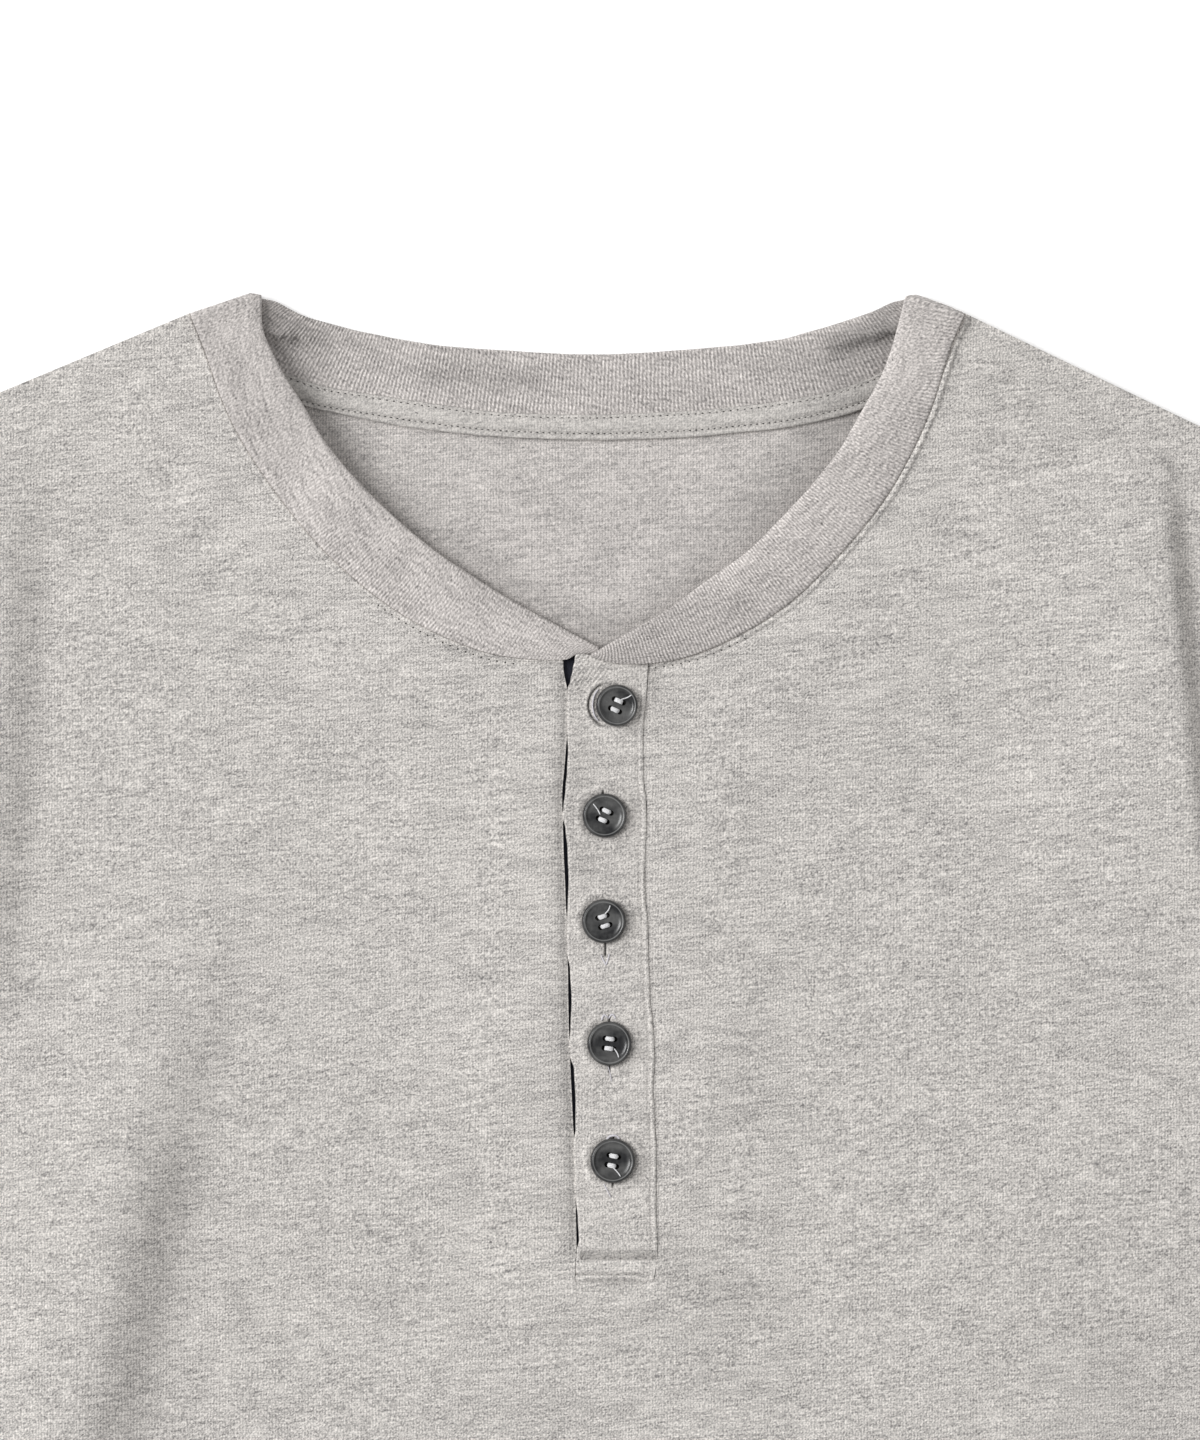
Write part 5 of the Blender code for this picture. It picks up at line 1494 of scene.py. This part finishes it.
# loose threads round the buttonholes: points as x and drop, and half thickness
holeThreads = (
    (((4.5, 107.5), (3.4, 109.0), (2.85, 111.8), (3.4, 114.6), (4.5, 116.1)), 0.21),
    (((5.1, 179.2), (5.8, 180.7), (6.5, 182.0)), 0.20),
    (((7.4, 178.9), (7.0, 180.4), (6.5, 181.9)), 0.18),
    (((5.3, 196.9), (5.9, 195.4), (7.0, 196.2)), 0.26),
    (((7.1, 196.4), (8.2, 195.2), (9.1, 196.5)), 0.24),
    (((6.7, 229.1), (7.6, 228.1), (9.2, 228.0), (10.2, 229.0)), 0.32),
    (((5.9, 240.9), (6.8, 242.7), (7.8, 244.6)), 0.15),
    (((7.0, 209.2), (7.6, 211.2), (8.0, 213.4)), 0.13),
)


def buildHoleThreads():
    shape = bmesh.new()
    for points, radius in holeThreads:
        addTube(shape, [onShirt(x, drop, heightOn(stripSurface, x, drop, 4.3) + radius * 0.5) / mm
                        for x, drop in points], radius)
    bmesh.ops.recalc_face_normals(shape, faces=shape.faces)
    addPiece("buttonhole_threads", shape, paleThread)


buildHoleThreads()
print("buttons made")


def stitchLine(threads, holes, points, pitch, surface, radius, sunk, holeSize=0.16):
    # each stitch is a short strand, with a dark dent after it, the painted shadow of a needle hole
    share, slack = 0.70, 0.05
    count = max(1, int(curveLength(points) / pitch))
    for k in range(count):
        start, end, hole = [pointAlong(points, (k + place) / count) for place in
                            (0.5 - share / 2, 0.5 + share / 2, 1.0)]
        middle = (start + end) / 2
        middle += Vector((dice.uniform(-slack, slack), dice.uniform(-slack, slack)))
        z = heightOn(surface, *middle)
        rise = heightOn(surface, *end, z) - heightOn(surface, *start, z)
        along = Vector((end[0] - start[0], start[1] - end[1], rise if abs(rise) < 1.0 else 0))
        turn = along.to_track_quat("X", "Z").to_matrix().to_4x4()
        turn.translation = onShirt(*middle, z - sunk)
        made = bmesh.ops.create_icosphere(threads, subdivisions=1, radius=0.5)["verts"]
        bmesh.ops.scale(threads, verts=made, vec=Vector((along.length, radius * 2, radius * 1.6)) * mm)
        bmesh.ops.transform(threads, verts=made, matrix=turn)
        if holes is not None:
            dent = bmesh.ops.create_icosphere(holes, subdivisions=1, radius=0.5)["verts"]
            bmesh.ops.scale(holes, verts=dent, vec=Vector((1.8, 1.8, 0.9)) * holeSize * mm)
            bmesh.ops.translate(holes, verts=dent, vec=onShirt(*hole, heightOn(surface, *hole, z)))


def buildSewing():
    threads, holes = bmesh.new(), bmesh.new()
    # beside the front neck seam
    for side in sides:
        line = shiftCurve(neckEdge(side, 90), 1.7 * sides[side]["sign"])
        line = line[70:-1] if side == "left" else line[56:-8]
        stitchLine(threads, holes, line, 2.2, frontSurface, 0.16, 0.05, 0.30)
    # two rows on the tape
    for row, (_, _, pitch) in enumerate(neckTape["stitches"]):
        line = [tapePoint(k / 50, tapeStitch(row, k / 50)) for k in range(-49, 50)]
        stitchLine(threads, holes, line, pitch, tapeSurface, 0.18, 0.02, 0.36)
    # the placket strip: beside its right edge, and across its end
    line = [Vector((stripEdges(drop)[1] - placket["edgeStitch"], drop)) for drop in range(103, 261, 3)]
    stitchLine(threads, holes, line, 2.3, stripSurface, 0.14, 0.08, 0.12)
    for x0, x1, drop, _, _ in placket["crossLines"]:
        line = [Vector((max(x0, -1.4), drop)), Vector((min(x1, 19.2), drop))]
        stitchLine(threads, holes, line, 2.0, stripSurface, 0.15, 0.06)
    addPiece("trim_stitches", threads, threadFinish)
    addPiece("trim_needle_hole_shadows", holes, holeShadowFinish)


def buildHems():
    threads = bmesh.new()

    def sew(start, end, surface):
        stitchLine(threads, None, [Vector(start), Vector(end)], 3.2, surface, 0.2, 0.05)

    for fromHem in shirt["hemRows"]:
        drop = shirt["length"] - fromHem
        for half in (-1, 1):
            sew((half * 0.6, drop), (half * 265.0, drop), frontSurface)
    for side, (_, surface, hemStart, hemEnd, down) in sleevePieces.items():
        for fromHem in shirt["hemRows"]:
            ends = [hemStart.lerp(hemEnd, share) - down * fromHem for share in (0.02, 0.98)]
            sew(*[(x * sides[side]["sign"], drop) for x, drop in ends], surface)
    addPiece("hem_stitches", threads, threadFinish)


buildSewing()
buildHems()
print("sewing made")

view = {
    "middle": (4.86, 115.83),    # x and drop at the middle of the picture
    "height": 2.5,                    # of the cloth there
    "distance": 2.4,                  # metres
    "tall": 388.8,                    # what the picture's height takes in
    "sensor": 36.0,
}
centre = onShirt(*view["middle"], view["height"])
cameraData = bpy.data.cameras.new("camera")
cameraData.sensor_width = view["sensor"]
cameraData.lens = view["sensor"] * view["distance"] / (view["tall"] * mm)
camera = bpy.data.objects.new("camera", cameraData)
camera.location = centre + Vector((0, 0, view["distance"]))
cameraData.clip_start, cameraData.clip_end = 0.05, 50.0
scene.collection.objects.link(camera)
scene.camera = camera

lamps = {
    # name: place, size and power; every lamp looks at the picture's middle
    "keyLamp": {"at": (-4.09, 1.33, 3.60), "size": 3.2, "power": 262.0},
    "fillLamp": {"at": (1.6, -0.6, 2.0), "size": 2.0, "power": 7.0},
}
for name, lamp in lamps.items():
    data = bpy.data.lights.new(name, "AREA")
    data.shape, data.size, data.energy = "DISK", lamp["size"], lamp["power"]
    light = bpy.data.objects.new(name, data)
    light.location = lamp["at"]
    light.rotation_euler = (centre - Vector(lamp["at"])).to_track_quat("-Z", "Y").to_euler()
    scene.collection.objects.link(light)

room = bpy.data.worlds.new("room")
room.use_nodes = True
background = room.node_tree.nodes["Background"]
background.inputs["Color"].default_value = (1.0, 1.0, 1.0, 1.0)
background.inputs["Strength"].default_value = 0.43
scene.world = room
scene.view_settings.view_transform = "Standard"
scene.view_settings.look = "None"

floorShape = bmesh.new()
bmesh.ops.create_grid(floorShape, x_segments=1, y_segments=1, size=12.0)
bmesh.ops.translate(floorShape, verts=floorShape.verts, vec=(0, 0, -0.0004))
floor = addObject("floor", floorShape)
floorFinish, _, floorShader = newMaterial("pale_floor", 1.0, 0.0, 0.0)
floorShader["Base Color"].default_value = (0.85, 0.85, 0.85, 1.0)
floorShader["Emission Color"].default_value = (1.0, 1.0, 1.0, 1.0)
floorShader["Emission Strength"].default_value = 0.35
floor.data.materials.append(floorFinish)
print("camera, lights and floor made")
